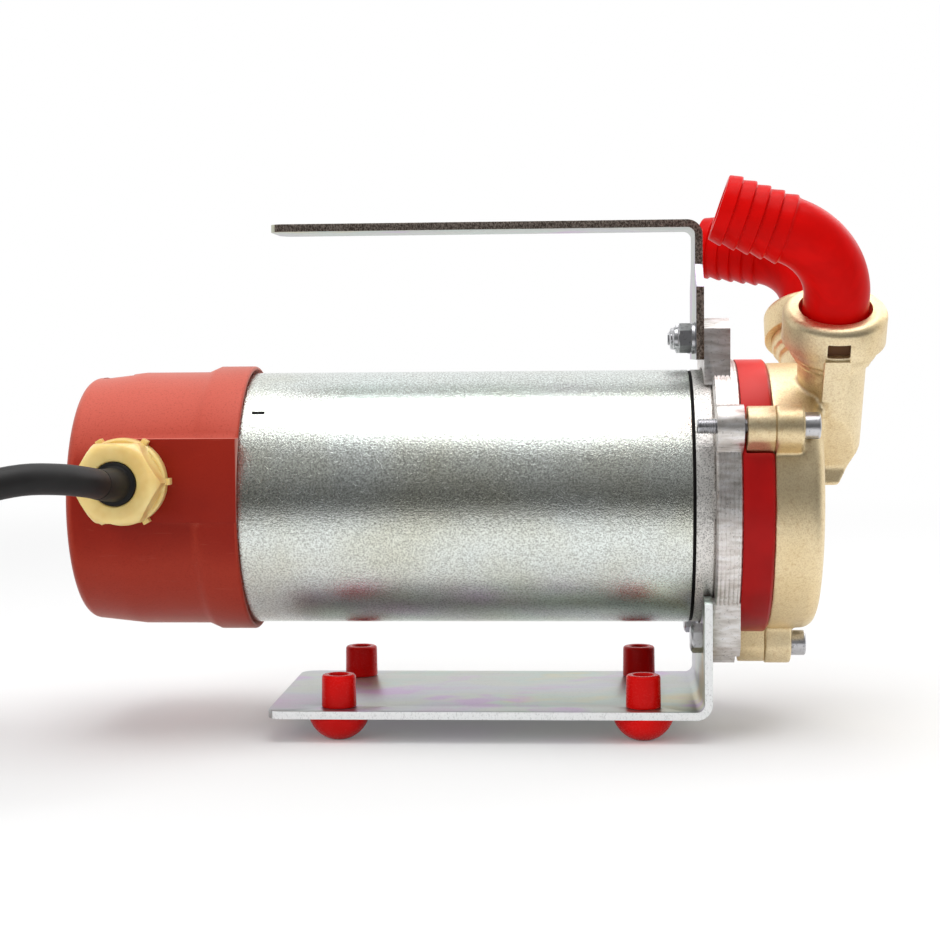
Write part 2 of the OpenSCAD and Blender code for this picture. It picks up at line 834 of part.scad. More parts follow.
// Moulded rear cover with a flat boss for the gland, screw columns, a catch and the switch's recess
module rear_cover() {
    gland_x = x_lip - gland_back;
    boss_in = tube_in - boss_half;
    pocket_w = switch_bezel_w + 2 * switch_bezel_gap;
    pocket_h = switch_bezel_h + 2 * switch_bezel_gap;
    recess_x = x_rear + switch_recess;
    color("indianred") difference() {
        union() {
            difference() {
                union() {
                    spin_x() cover_outline();
                    translate([0, -boss_in, axis_h + gland_up]) rotate([90, 0, 0])
                        linear_extrude(boss_y - boss_in) {
                            translate([gland_x, 0]) circle(r = boss_half);
                            translate([gland_x, -boss_half]) square([gland_back, boss_w]);
                        }
                }
                spin_x() cover_space();
            }
            intersection() {
                spin_x() cover_outline();
                union() {
                    translate([gland_x, -gland_seat_in, axis_h + gland_up]) rotate([90, 0, 0])
                        cylinder(h = boss_y - gland_seat_in - cover_wall / 2, r = gland_seat_r);
                    for (s = [-1, 1])
                        bar_x(x_rear + cover_wall / 2, x_tube_rear - x_rear - cover_wall / 2, column_d / 2,
                            0, s * column_z);
                    translate([x_rear + cover_wall / 2, -pocket_w / 2 - cover_wall,
                        axis_h - pocket_h / 2 - cover_wall])
                        cube([switch_recess + cover_wall / 2, pocket_w + 2 * cover_wall,
                            pocket_h + 2 * cover_wall]);
                }
            }
        }
        translate([gland_x, -gland_seat_in + over, axis_h + gland_up]) rotate([90, 0, 0])
            cylinder(h = boss_y - gland_seat_in + 2 * over, d = gland_thread_d + 2 * fit);
        for (s = [-1, 1]) {
            bar_x(x_rear - over, x_tube_rear - x_rear + 2 * over, column_screw_d / 2 + column_head_gap,
                0, s * column_z);
            bar_x(x_rear - over, x_tube_rear - column_floor - x_rear + over,
                column_head_d / 2 + column_head_gap, 0, s * column_z);
        }
        translate([x_rear - over, -pocket_w / 2, axis_h - pocket_h / 2])
            cube([switch_recess + over, pocket_w, pocket_h]);
        translate([recess_x - over, -switch_cut_w / 2, axis_h - switch_cut_h / 2])
            cube([cover_wall + 2 * over, switch_cut_w, switch_cut_h]);
        translate([x_rear + catch_from_rear, -catch_w / 2, axis_h + cover_rear_d / 2 - catch_deep])
            cube([catch_len, catch_w, cover_d]);
    }
}

// Long-reach screws in the columns hold the cover to the rear shield
module cover_screws() {
    seat = x_tube_rear - column_floor;
    color("silver") for (s = [-1, 1]) {
        bar_x(seat - column_head_h, column_head_h, column_head_d / 2, 0, s * column_z);
        bar_x(seat - column_head_h / 2, screw_len + column_head_h / 2, column_screw_d / 2, 0, s * column_z);
    }
}

// Start capacitor, upright on the cover's rear wall
module capacitor() {
    color("black") translate([x_rear + cover_wall, capacitor_y, axis_h + capacitor_z])
        rotate([0, 90, 0]) rotate_extrude() pin_profile(capacitor_d / 2, capacitor_len, capacitor_edge);
}

// Terminal block on the cover's rear wall, behind the gland
module terminal_block() {
    x0 = x_rear + cover_wall;
    step = terminal_len / terminal_count;
    color("ivory") difference() {
        translate([x0, -terminal_near, axis_h + gland_up - terminal_h / 2])
            cube([terminal_len, terminal_t, terminal_h]);
        for (i = [0 : terminal_count - 1])
            translate([x0 + (i + 1 / 2) * step, -terminal_near + terminal_t / 2,
                axis_h + gland_up + terminal_h / 2 - terminal_screw_deep])
                cylinder(h = terminal_screw_deep + over, d = terminal_screw_d);
    }
}

// Reversing switch: a bezel in the recess and a box with a window and a bearing for the rocker
module switch_body() {
    seat = x_rear + switch_recess;
    face = seat - switch_bezel_t;
    pivot = face + rocker_axle_deep;
    window_w = rocker_w + 2 * rocker_gap;
    window_h = 2 * (rocker_r + rocker_gap);
    color("dimgray") difference() {
        union() {
            translate([face, 0, axis_h]) rotate([0, 90, 0]) linear_extrude(switch_bezel_t)
                soft_rect(switch_bezel_h, switch_bezel_w, switch_bezel_edge);
            translate([seat - over, -switch_cut_w / 2 + fit, axis_h - switch_cut_h / 2 + fit])
                cube([switch_depth + over, switch_cut_w - 2 * fit, switch_cut_h - 2 * fit]);
            for (s = [-1, 0, 1])
                translate([seat + switch_depth - over, -tab_w / 2, axis_h + s * tab_step - tab_t / 2])
                    cube([tab_len + over, tab_w, tab_t]);
        }
        translate([face - over, -window_w / 2, axis_h - window_h / 2])
            cube([rocker_cavity + over, window_w, window_h]);
        translate([pivot, 0, axis_h]) rotate([90, 0, 0])
            cylinder(h = window_w + 2 * rocker_axle_len, d = rocker_axle_d + 2 * fit, center = true);
    }
}

// Rocker with a dished face, on an axle across the window
module switch_rocker() {
    pivot = x_rear + switch_recess - switch_bezel_t + rocker_axle_deep;
    front = rocker_axle_deep + rocker_proud;
    dish_back = sqrt(rocker_dish_r * rocker_dish_r - rocker_r * rocker_r + front * front);
    color("black") translate([pivot, 0, axis_h]) {
        carry_y(rocker_w) difference() {
            intersection() {
                circle(r = rocker_r);
                translate([-front, -rocker_r]) square([front + rocker_back, 2 * rocker_r]);
            }
            translate([-front - dish_back, 0]) circle(r = rocker_dish_r);
        }
        rotate([90, 0, 0])
            cylinder(h = rocker_w + 2 * rocker_gap + 2 * rocker_axle_len - 4 * fit, d = rocker_axle_d,
                center = true);
    }
}

// Machined flange between motor and pump, with an ear for the handle and a pad for the bracket
module adapter_flange() {
    ear_x = x_ear;
    rim = adapter_d / 2;
    color("lightgray") difference() {
        union() {
            spin_x() difference() {
                polygon([[0, x_joint], [rim - adapter_edge, x_joint], [rim, x_joint + adapter_edge],
                    [rim, x_ring - adapter_edge], [rim - adapter_edge, x_ring], [0, x_ring]]);
                for (i = [1 : turn_grooves])
                    translate([rim - groove_deep, x_joint + i * adapter_t / (turn_grooves + 1) - groove_w / 2])
                        square([over, groove_w]);
            }
            carry_x(ear_x, ear_t) polygon([[-ear_half, 0], [ear_half, 0],
                [ear_half, ear_top - ear_chamfer_z], [ear_half - ear_chamfer_y, ear_top],
                [-ear_half + ear_chamfer_y, ear_top], [-ear_half, ear_top - ear_chamfer_z]]);
            carry_x(x_pad, x_ring - x_pad) polygon([[-pad_half, -pad_top], [-pad_half, -pad_bottom + pad_chamfer],
                [-pad_half + pad_chamfer, -pad_bottom], [pad_half - pad_chamfer, -pad_bottom],
                [pad_half, -pad_bottom + pad_chamfer], [pad_half, -pad_top], [0, 0]]);
            carry_x(x_joint, adapter_t) lug_outline(lug_r);
        }
        bar_x(x_ear - over, x_joint - x_ear + over, shield_r + shield_clear);
        bar_x(x_joint - over, adapter_t + 2 * over, adapter_bore_r);
        lug_bars(x_ear - over, x_ring - x_ear + 2 * over, bolt_d / 2 + fit);
        rod_cuts(x_joint - over, rod_grip + bolt_play + over, rod_d / 2 + fit);
        for (sy = [-1, 1]) {
            bar_x(x_pad - over, base_bolt_len - sheet_t + bolt_play + over, bolt_d / 2 + fit,
                sy * base_bolt_y, -base_bolt_drop);
            bar_x(x_ear - over, handle_stud_len - handle_stud_out - sheet_t + bolt_play + over,
                bolt_d / 2 + fit, sy * handle_stud_y, handle_stud_z);
        }
    }
}

// Red ring round the pump body, notched for the lugs down to a thin web
module spacer_ring() {
    r = ring_d / 2;
    color("crimson") difference() {
        spin_x() polygon([[body_r + fit, x_ring], [r, x_ring], [r, x_body - ring_edge],
            [r - ring_edge, x_body], [body_r + fit, x_body]]);
        carry_x(x_ring + ring_web, ring_w) lug_outline(lug_r + lug_notch_gap);
        lug_bars(x_ring - over, ring_w + 2 * over, (bolt_d + bolt_play) / 2);
    }
}

// Half of the side channel in a wall of the chamber; a negative depth cuts towards the motor
module channel_cut(x, deep) {
    spin_x() ring_profile(channel_in, channel_out, deep < 0 ? x + deep : x - over, deep < 0 ? x + over : x + deep);
}

// Rear half of the casing: seal pocket, back wall, chamber and the groove of the sealing ring
module pump_body() {
    chamber_r = impeller_d / 2 + impeller_tip_gap;
    back = x_ring + chamber_back;
    color("tan") difference() {
        union() {
            bar_x(x_ring, ring_w, body_r);
            carry_x(x_ring + ring_web + fit, ring_w - ring_web - fit) lug_outline(lug_r - lug_face_step);
        }
        bar_x(back, ring_w, chamber_r);
        bar_x(x_ring - over, ring_w, seal_wall_hole_r);
        bar_x(x_ring - over, seal_pocket_t + over, seal_pocket_r);
        channel_cut(back, -channel_deep_back);
        spin_x() ring_profile(seal_ring_r - seal_cord_d / 2 - fit, seal_ring_r + seal_cord_d / 2 + fit,
            x_body - seal_cord_d - fit, x_body + over);
        lug_bars(x_ring - over, ring_w + 2 * over, (bolt_d + bolt_play) / 2);
    }
}

// Neck of a port, round in section from the rim of the casing out to the sealing face
module port_neck(side) {
    r = port_d / 2;
    thread_r = port_thread_d / 2;
    collar_s = port_reach - thread_len - collar_port_t;
    at_port(side) {
        translate([0, 0, port_round_s]) {
            cylinder(h = port_reach - port_round_s - over, r = r);
            sphere(r = r);
        }
        translate([0, 0, collar_s]) cylinder(h = collar_port_t + over, d = collar_port_d);
        translate([0, 0, port_reach - thread_len])
            rotate_extrude() pin_profile(thread_r, thread_len, thread_chamfer);
    }
    intersection() {
        at_port(side) cylinder(h = port_round_s, r = r);
        translate([x_front - over, -port_reach, axis_h + chin_top]) cube([port_d, 2 * port_reach, port_reach]);
    }
}

// Front half of the casing with its lugs, both ports and the chin that joins their ducts
module pump_cover() {
    cr = casing_d / 2;
    chamber_r = impeller_d / 2 + impeller_tip_gap;
    front = x_ring + chamber_back + impeller_w + 2 * chamber_clear;
    duct_front = port_x + port_d / 2 - manifold_out;
    foot_y = duct_foot_s * sin(port_lean) + port_d / 2 * cos(port_lean);
    foot_z = duct_foot_s * cos(port_lean) - port_d / 2 * sin(port_lean);
    notch_z = port_d / 2 / sin(port_lean);
    color("burlywood") difference() {
        union() {
            spin_x() {
                polygon([[0, x_body], [cr, x_body], [cr, x_front - casing_edge],
                    [cr - casing_edge, x_front], [0, x_front]]);
                translate([cr - casing_edge, x_front - casing_edge]) circle(r = casing_edge, $fn = small_fn);
            }
            carry_x(x_body, lug_t) lug_outline(lug_r);
            for (side = [-1, 1]) port_neck(side);
            difference() {
                carry_x(x_front - over, duct_front - x_front + over) polygon([[-foot_y, foot_z],
                    [-chin_half, chin_top], [-chin_half, chin_bottom], [chin_half, chin_bottom],
                    [chin_half, chin_top], [foot_y, foot_z], [0, notch_z]]);
                carry_y(foot_y * 2 + 2 * over) polygon([
                    [duct_front - chin_slope_x, axis_h + chin_bottom],
                    [duct_front - chin_slope_x, axis_h],
                    [duct_front + over, axis_h],
                    [duct_front + over, axis_h + chin_slope_z],
                    [duct_front, axis_h + chin_slope_z]]);
            }
        }
        bar_x(x_body - over, front - x_body + over, chamber_r);
        channel_cut(front, channel_deep_front);
        for (side = [-1, 1]) {
            at_port(side) translate([0, 0, duct_bore_s]) cylinder(h = port_reach, r = duct_bore_r);
            bar_x(front, port_x - front, cross_bore_r, side * cross_bore_s * sin(port_lean),
                cross_bore_s * cos(port_lean));
        }
        lug_bars(x_body - over, lug_t + 2 * over, (bolt_d + bolt_play) / 2);
    }
}

// Cap screws through both halves into the flange
module pump_bolts() {
    seat = x_body + lug_t;
    color("silver") difference() {
        union() {
            lug_bars(seat - bolt_len, bolt_len + over, bolt_d / 2);
            for (a = lug_angles)
                translate([seat, -bolt_pcd / 2 * cos(a), axis_h + bolt_pcd / 2 * sin(a)]) rotate([0, 90, 0])
                    rotate_extrude() pin_profile(head_d / 2, head_h, bolt_edge);
        }
        for (a = lug_angles)
            hex_x(seat + head_h - hex_socket_depth, hex_socket_depth + over, hex_socket_af,
                -bolt_pcd / 2 * cos(a), bolt_pcd / 2 * sin(a));
    }
}

module casing_seal() {
    color("black") spin_x() translate([seal_ring_r, x_body - seal_cord_d / 2])
        circle(d = seal_cord_d, $fn = small_fn);
}

// Lip seal on the shaft, open towards the motor
module shaft_seal() {
    color("black") spin_x() difference() {
        ring_profile(seal_shaft_d / 2 + fit, seal_pocket_r - fit, x_ring, x_ring + seal_ring_t);
        ring_profile(seal_groove_in, seal_groove_out, x_ring - over, x_ring + seal_groove_deep);
    }
}

// Star impeller: hub, thin web, root ring and radial vanes, with a keyway
module impeller() {
    x0 = x_ring + chamber_back + chamber_clear;
    dish = (impeller_w - vane_web_t) / 2;
    color("peru") difference() {
        union() {
            spin_x() difference() {
                ring_profile(seal_shaft_d / 2 + fit, vane_root_r, x0, x0 + impeller_w);
                ring_profile(hub_r, web_ring_r, x0 - over, x0 + dish);
                ring_profile(hub_r, web_ring_r, x0 + impeller_w - dish, x0 + impeller_w + over);
            }
            carry_x(x0, impeller_w) intersection() {
                for (i = [0 : vane_count - 1]) rotate(i * 360 / vane_count)
                    translate([vane_root_r - over, -vane_t / 2]) square([impeller_d, vane_t]);
                circle(d = impeller_d);
            }
        }
        translate([x0 - over, -key_w / 2 - fit, axis_h])
            cube([impeller_w + 2 * over, key_w + 2 * fit, seal_shaft_d / 2 + key_h / 2 + fit]);
    }
}

module impeller_key() {
    nose = x_ring + chamber_back + chamber_clear + impeller_w - shaft_nose_gap;
    color("gray") translate([nose - key_len - shaft_nose_gap + fit, -key_w / 2,
        axis_h + seal_shaft_d / 2 - key_h / 2]) cube([key_len, key_w, key_h]);
}

module port_gasket(side) {
    color("black") at_port(side) translate([0, 0, port_reach]) rotate_extrude()
        translate([duct_bore_r, 0]) square([gasket_port_r - duct_bore_r, gasket_face_t]);
}

module near_port_gasket() { port_gasket(-1); }
module far_port_gasket() { port_gasket(1); }

// Union nut: a skirt on the port's thread, a round shoulder over the elbow's flange, one window and tab
module union_nut(side) {
    r = nut_d / 2;
    bottom = port_reach - nut_below;
    top = bottom + nut_skirt + nut_dome;
    seat = port_reach + gasket_face_t + flange_t + nut_pitch_gap;
    inner = port_thread_d / 2 + fit;
    color("burlywood") at_port(side) difference() {
        union() {
            rotate_extrude() {
                polygon([[0, bottom], [r, bottom], [r, top - nut_dome], [r - nut_dome, top], [0, top]]);
                translate([r - nut_dome, top - nut_dome]) circle(r = nut_dome, $fn = small_fn);
            }
            intersection() {
                translate([-nut_slot_w / 2, side < 0 ? -r : inner, bottom - nut_tab_h])
                    cube([nut_slot_w, r - inner, nut_tab_h + over]);
                translate([0, 0, bottom - nut_tab_h]) difference() {
                    cylinder(h = nut_tab_h + over, r = r);
                    translate([0, 0, -over]) cylinder(h = nut_tab_h + 2 * over, r = r - nut_tab_t);
                }
            }
        }
        translate([0, 0, bottom - over]) cylinder(h = seat - bottom + over, r = inner);
        cylinder(h = top + over, r = elbow_d / 2 + nut_hole_play);
        translate([-nut_slot_w / 2, side < 0 ? -r - over : r - nut_slot_deep, bottom + nut_slot_up])
            cube([nut_slot_w, nut_slot_deep + over, nut_slot_h]);
    }
}

module near_union_nut() { union_nut(-1); }
module far_union_nut() { union_nut(1); }

// Sawtooth outline of the hose tail, drawn as [radius, distance from the bend]
module barb_profile() {
    pitch = barb_len / barb_count;
    crest = barb_d / 2;
    root = barb_root_d / 2;
    polygon(concat([[0, -over], [root, -over], [root, 0]],
        [for (i = [0 : barb_count - 1], k = [0, 1]) k == 0 ? [crest, i * pitch]
            : [i == barb_count - 1 ? barb_mouth_d / 2 : root, (i + 1) * pitch]],
        [[0, barb_len]]));
}

// Swivel elbow: flange under the nut, leg, round bend and a barbed hose tail
module elbow(side) {
    foot_s = port_reach + gasket_face_t;
    r = elbow_d / 2;
    bore = elbow_bore / 2;
    color("firebrick") at_port(side) rotate([0, 0, elbow_swivel]) difference() {
        union() {
            translate([0, 0, foot_s]) cylinder(h = flange_t, r = flange_r);
            translate([0, 0, foot_s]) cylinder(h = leg_end_s - foot_s, r = r);
            translate([-elbow_r, 0, leg_end_s]) rotate([90, 0, 0])
                rotate_extrude(angle = elbow_turn) translate([elbow_r, 0]) circle(r = r);
            at_elbow_tail() rotate_extrude() barb_profile();
        }
        translate([0, 0, foot_s - over]) cylinder(h = leg_end_s - foot_s + over, r = bore);
        translate([-elbow_r, 0, leg_end_s]) rotate([90, 0, 0])
            rotate_extrude(angle = elbow_turn) translate([elbow_r, 0]) circle(r = bore);
        at_elbow_tail() cylinder(h = barb_len + over, r = bore);
    }
}

// Frame at the end of an elbow's bend: Z runs out along the hose tail
module at_elbow_tail() {
    translate([-elbow_r + elbow_r * cos(elbow_turn), 0, leg_end_s + elbow_r * sin(elbow_turn)])
        rotate([0, -elbow_turn, 0]) children();
}

module near_elbow() { elbow(-1); }
module far_elbow() { elbow(1); }

// Frame of the cable gland: Z is the distance out from the motor's middle plane
module at_gland() {
    translate([x_lip - gland_back, 0, axis_h + gland_up]) rotate([90, 0, 0]) children();
}

module gland_body() {
    out = boss_y + gland_flange_t;
    color("blanchedalmond") at_gland() difference() {
        union() {
            translate([0, 0, boss_y - gland_tail]) cylinder(h = gland_tail + over, d = gland_thread_d);
            translate([0, 0, boss_y]) rotate_extrude()
                pin_profile(gland_flange_d / 2, gland_flange_t, stud_edge);
            for (i = [0 : gland_nib_count - 1]) rotate(i * 360 / gland_nib_count)
                translate([gland_flange_d / 2 - over, -gland_nib_w / 2, boss_y])
                    cube([gland_nib + over, gland_nib_w, gland_flange_t - stud_edge]);
            translate([0, 0, boss_y + over]) cylinder(h = gland_flange_t + gland_sleeve_len - over,
                d = gland_thread_d);
        }
        translate([0, 0, boss_y - gland_tail - over])
            cylinder(h = gland_tail + gland_flange_t + gland_sleeve_len + 2 * over, d = gland_bore_d);
    }
}

// Hexagon compression nut with a domed front and a round mouth
module gland_nut() {
    base = boss_y + gland_flange_t;
    corner = gland_nut_af / 2 / cos(30);
    color("blanchedalmond") at_gland() difference() {
        intersection() {
            translate([0, 0, base]) rotate([0, 0, 30]) cylinder(h = gland_nut_len, r = corner, $fn = 6);
            translate([0, 0, base]) rotate_extrude() {
                polygon([[0, 0], [corner, 0], [corner, gland_nut_len - gland_nut_edge],
                    [corner - gland_nut_edge, gland_nut_len], [0, gland_nut_len]]);
                translate([corner - gland_nut_edge, gland_nut_len - gland_nut_edge])
                    circle(r = gland_nut_edge, $fn = small_fn);
            }
        }
        translate([0, 0, base - over]) cylinder(h = gland_nut_len - gland_mouth_lip + over,
            d = gland_thread_d + 2 * fit);
        translate([0, 0, base]) cylinder(h = gland_nut_len + over, d = gland_mouth_d);
    }
}

// Rubber ring squeezed round the cable behind the nut's lip
module gland_seal() {
    z0 = boss_y + gland_flange_t + gland_sleeve_len;
    z1 = boss_y + gland_flange_t + gland_nut_len - gland_mouth_lip;
    color("black") at_gland() rotate_extrude()
        translate([cable_r + soft_gap, z0]) square([gland_seal_r - cable_r - soft_gap, z1 - z0]);
}

module gland_locknut() {
    color("blanchedalmond") at_gland() translate([0, 0, gland_seat_in - locknut_t]) difference() {
        cylinder(h = locknut_t, r = locknut_af / 2 / cos(30), $fn = 6);
        translate([0, 0, -over]) cylinder(h = locknut_t + 2 * over, d = gland_thread_d + 2 * fit);
    }
}

// Route of the coil: straight for one diameter, spiral in on the top layer, climb down in the half
// turn where the spiral reverses, spiral out on the bottom layer and leave straight
function unit(v) = v / norm(v);
lead_end = lead_points[len(lead_points) - 1];
lead_dir = unit(lead_end - lead_points[len(lead_points) - 2]);
coil_right = [lead_dir.y, -lead_dir.x, 0];
coil_out_r = coil_d / 2 + coil_turns / 4 * coil_pitch;
coil_top = coil_floor + cable_r + coil_layer;
coil_middle = lead_end + cable_d * lead_dir + coil_out_r * coil_right;
coil_angle = atan2(-coil_right.y, -coil_right.x);
function coil_radius(t) = coil_out_r - coil_pitch * min(t, coil_turns - t);
function coil_drop(t) = min(max(2 * t - coil_turns + 1 / 2, 0), 1);
function ease(u) = u * u * (3 - 2 * u);
function coil_point(t) = [coil_middle.x + coil_radius(t) * cos(coil_angle - 360 * t),
    coil_middle.y + coil_radius(t) * sin(coil_angle - 360 * t), coil_top - coil_layer * ease(coil_drop(t))];
coil_exit = [lead_end.x, lead_end.y, coil_top - coil_layer] + 2 * cable_d * lead_dir;
coil_points = concat([lead_end],
    [for (i = [0 : coil_turns * coil_loop_rings]) coil_point(i / coil_loop_rings)], [coil_exit]);
tail_points = concat([coil_exit, coil_exit + cable_d * lead_dir], tail_turns);
tail_end = tail_points[len(tail_points) - 1];
tail_dir = unit(tail_end - tail_points[len(tail_points) - 2]);
coil_gap = min([for (i = [0 : len(coil_points) - 1], j = [i + coil_loop_rings / 2 : len(coil_points) - 1])
    norm(coil_points[i] - coil_points[j])]) - cable_d;
echo(least_gap_between_coil_turns = coil_gap);

// A tube swept along points, with a ring of sides square to the route at each of them
module tube(points, sides) {
    last = len(points) - 1;
    rings = [for (i = [0 : last]) let (
        way = unit(unit(points[min(i + 1, last)] - points[min(i, last - 1)])
            + unit(points[max(i, 1)] - points[max(i - 1, 0)])),
        side = unit(cross([0, 0, 1], way)),
        up = cross(way, side))
        for (k = [0 : sides - 1]) points[i] + cable_r * (cos(k * 360 / sides) * side
            + sin(k * 360 / sides) * up)];
    start = len(rings);
    polyhedron(concat(rings, [points[0], points[last]]), concat(
        [for (i = [0 : last - 1], k = [0 : sides - 1], half = [0, 1]) let (
            a = i * sides + k,
            b = i * sides + (k + 1) % sides)
            half == 0 ? [a, b, b + sides] : [a, b + sides, a + sides]],
        [for (k = [0 : sides - 1]) [start, (k + 1) % sides, k]],
        [for (k = [0 : sides - 1]) [start + 1, last * sides + k, last * sides + (k + 1) % sides]]));
}

module cable_lead() {
    color("saddlebrown") tube(lead_points, cable_sides);
}

module cable_coil() {
    color("saddlebrown") tube(coil_points, coil_sides);
}

module cable_tail() {
    color("saddlebrown") tube(tail_points, cable_sides);
}

// Outline of three turns of the coil where the tie goes round them, grown by a gap
module tie_outline(grow) {
    hull() for (k = [0 : coil_turns - 1]) {
        p = coil_point(k + 1 - tie_turn / 360);
        translate([norm([p.x - coil_middle.x, p.y - coil_middle.y]), p.z])
            circle(r = cable_r + grow, $fn = tie_fn);
    }
}

module coil_tie() {
    color("black") translate([coil_middle.x, coil_middle.y, 0]) rotate([0, 0, coil_angle + tie_turn])
        rotate([90, 0, 0]) linear_extrude(tie_w, center = true) difference() {
            tie_outline(tie_gap + tie_t);
            tie_outline(tie_gap);
        }
}

// Frame at the cable's end: Z runs out along the plug
module at_plug() {
    translate(tail_end) rotate([0, 0, atan2(tail_dir.y, tail_dir.x)]) rotate([0, 90, 0]) children();
}

// Moulded mains plug: tapered strain relief, shoulder and round head with two flat cheeks
module plug_body() {
    head_z = plug_grip_len + plug_shoulder_len;
    len = head_z + plug_head_len;
    color("black") at_plug() difference() {
        intersection() {
            rotate_extrude() polygon([[0, 0], [plug_grip_d / 2, 0], [plug_grip_end_d / 2, plug_grip_len],
                [plug_head_d / 2 - plug_edge, head_z], [plug_head_d / 2, head_z + plug_edge],
                [plug_head_d / 2, len - plug_edge], [plug_head_d / 2 - plug_edge, len], [0, len]]);
            translate([-plug_head_d / 2, -plug_cheek_w / 2, 0]) cube([plug_head_d, plug_cheek_w, len]);
        }
        for (s = [-1, 1]) translate([0, s * pin_gap / 2, len - pin_deep])
            cylinder(h = pin_deep + over, d = pin_tail_d + 2 * fit);
    }
}

// Round pins on thinner tails, which show as a fine neck at the plug's face
module plug_pins() {
    face = plug_grip_len + plug_shoulder_len + plug_head_len;
    r = pin_d / 2;
    color("silver") at_plug() for (s = [-1, 1]) translate([0, s * pin_gap / 2, face])
        rotate_extrude() polygon([[0, -pin_deep], [pin_tail_d / 2, -pin_deep],
            [pin_tail_d / 2, pin_neck_len], [r, pin_neck_len], [r, pin_len - stud_edge],
            [r - stud_edge, pin_len], [0, pin_len]]);
}

base_bracket();
foot_near_rear();
foot_near_front();
foot_far_rear();
foot_far_front();
base_bolts();
handle_bracket();
handle_studs();
handle_nuts();
motor_tube();
tube_gasket();
front_shield();
rear_shield();
tie_rods();
stator_core();
windings();
rotor_core();
rotor_cage();
rotor_shaft();
front_bearing();
rear_bearing();
wave_washer();
rear_cover();
cover_screws();
capacitor();
terminal_block();
switch_body();
switch_rocker();
adapter_flange();
spacer_ring();
pump_body();
pump_cover();
pump_bolts();
casing_seal();
shaft_seal();
impeller();
impeller_key();
near_port_gasket();
far_port_gasket();
near_union_nut();
far_union_nut();
near_elbow();
far_elbow();
gland_body();
gland_nut();
gland_seal();
gland_locknut();
cable_lead();
cable_coil();
cable_tail();
coil_tie();
plug_body();
plug_pins();
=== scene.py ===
"""Electric pump on its sheet bracket: the cable, the finishes, the made pieces and the studio."""
import json
import math

import bpy
import numpy as np
from mathutils import Matrix, Vector

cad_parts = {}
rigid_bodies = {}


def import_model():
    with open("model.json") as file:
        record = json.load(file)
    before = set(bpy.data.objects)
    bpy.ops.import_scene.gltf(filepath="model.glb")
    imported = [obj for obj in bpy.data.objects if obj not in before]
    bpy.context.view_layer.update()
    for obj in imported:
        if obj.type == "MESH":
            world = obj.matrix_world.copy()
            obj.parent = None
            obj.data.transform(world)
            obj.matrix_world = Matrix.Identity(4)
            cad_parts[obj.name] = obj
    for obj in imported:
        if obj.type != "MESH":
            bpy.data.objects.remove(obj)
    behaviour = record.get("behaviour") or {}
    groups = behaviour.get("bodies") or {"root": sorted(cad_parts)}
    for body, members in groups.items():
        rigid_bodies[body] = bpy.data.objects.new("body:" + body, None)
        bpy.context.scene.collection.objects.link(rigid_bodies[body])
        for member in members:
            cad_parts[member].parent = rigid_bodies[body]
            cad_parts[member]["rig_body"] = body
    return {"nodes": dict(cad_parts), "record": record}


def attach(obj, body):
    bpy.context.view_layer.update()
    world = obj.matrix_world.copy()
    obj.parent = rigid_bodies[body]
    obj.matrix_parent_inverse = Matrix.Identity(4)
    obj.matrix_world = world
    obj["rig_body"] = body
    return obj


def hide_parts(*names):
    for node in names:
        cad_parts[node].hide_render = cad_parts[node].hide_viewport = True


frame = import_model()
nodes = frame["nodes"]
slot_of = {row["node"]: row["material_slot"] for row in frame["record"]["subparts"]}
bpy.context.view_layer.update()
# The frame's plain materials leave their names to the finishes below
for plain in bpy.data.materials:
    plain.name = "plain_" + plain.name

# Lengths are in millimetres; those of the shaders, the camera and the studio are in metres
MM = 0.001
TURN = 2 * math.pi
AXIS_Z = 90.7
X, Y, Z = np.eye(3)


def put(name, data):
    """A new object in the scene."""
    made = bpy.data.objects.new(name, data)
    bpy.context.scene.collection.objects.link(made)
    return made


# Camera
def add_camera():
    """The photograph's view: near side on, slightly from above and from the right."""
    data = bpy.data.cameras.new("camera")
    data.lens, data.sensor_width = 74.8, 36
    data.clip_start, data.clip_end = 0.05, 100
    camera = put("camera", data)
    yaw, pitch, roll = (math.radians(a) for a in (3.64, -3.39, 0.48))
    turn = Matrix.Rotation(yaw, 4, "Z") @ Matrix.Rotation(pitch, 4, "X") @ Matrix.Rotation(roll, 4, "Y")
    place = Matrix.Translation((0.04009, -0.77953, 0.14751))
    camera.matrix_world = place @ turn @ Matrix.Rotation(math.pi / 2, 4, "X")
    bpy.context.scene.camera = camera


# Surfaces
def unit(v):
    """The same direction, one long."""
    return v / np.linalg.norm(v, axis=-1, keepdims=True)


def softened(points, closed=False, steps=4):
    """Rows (along, across, round) or (along, across, round, flat): a corner is replaced by the curve
    (1-t)^2 a + 2t(1-t) p + t^2 b between the points a and b that lie one cut away on both sides."""
    points = [tuple(p) + (0,) * (4 - len(p)) for p in points]
    count = len(points)
    rows = []
    for i, p in enumerate(points):
        here = np.array(p[:2], float)
        if p[2] <= 0 or (not closed and i in (0, count - 1)):
            rows.append([*here, p[3]])
            continue
        before = np.array(points[i - 1][:2], float) - here
        after = np.array(points[(i + 1) % count][:2], float) - here
        cut = min(p[2], 0.49 * np.linalg.norm(before), 0.49 * np.linalg.norm(after))
        a, b = here + cut * unit(before), here + cut * unit(after)
        t = np.linspace(0, 1, steps + 1)[:, None]
        curve = (1 - t) ** 2 * a + 2 * t * (1 - t) * here + t ** 2 * b
        rows += [[*q, p[3]] for q in curve]
    return np.array(rows)


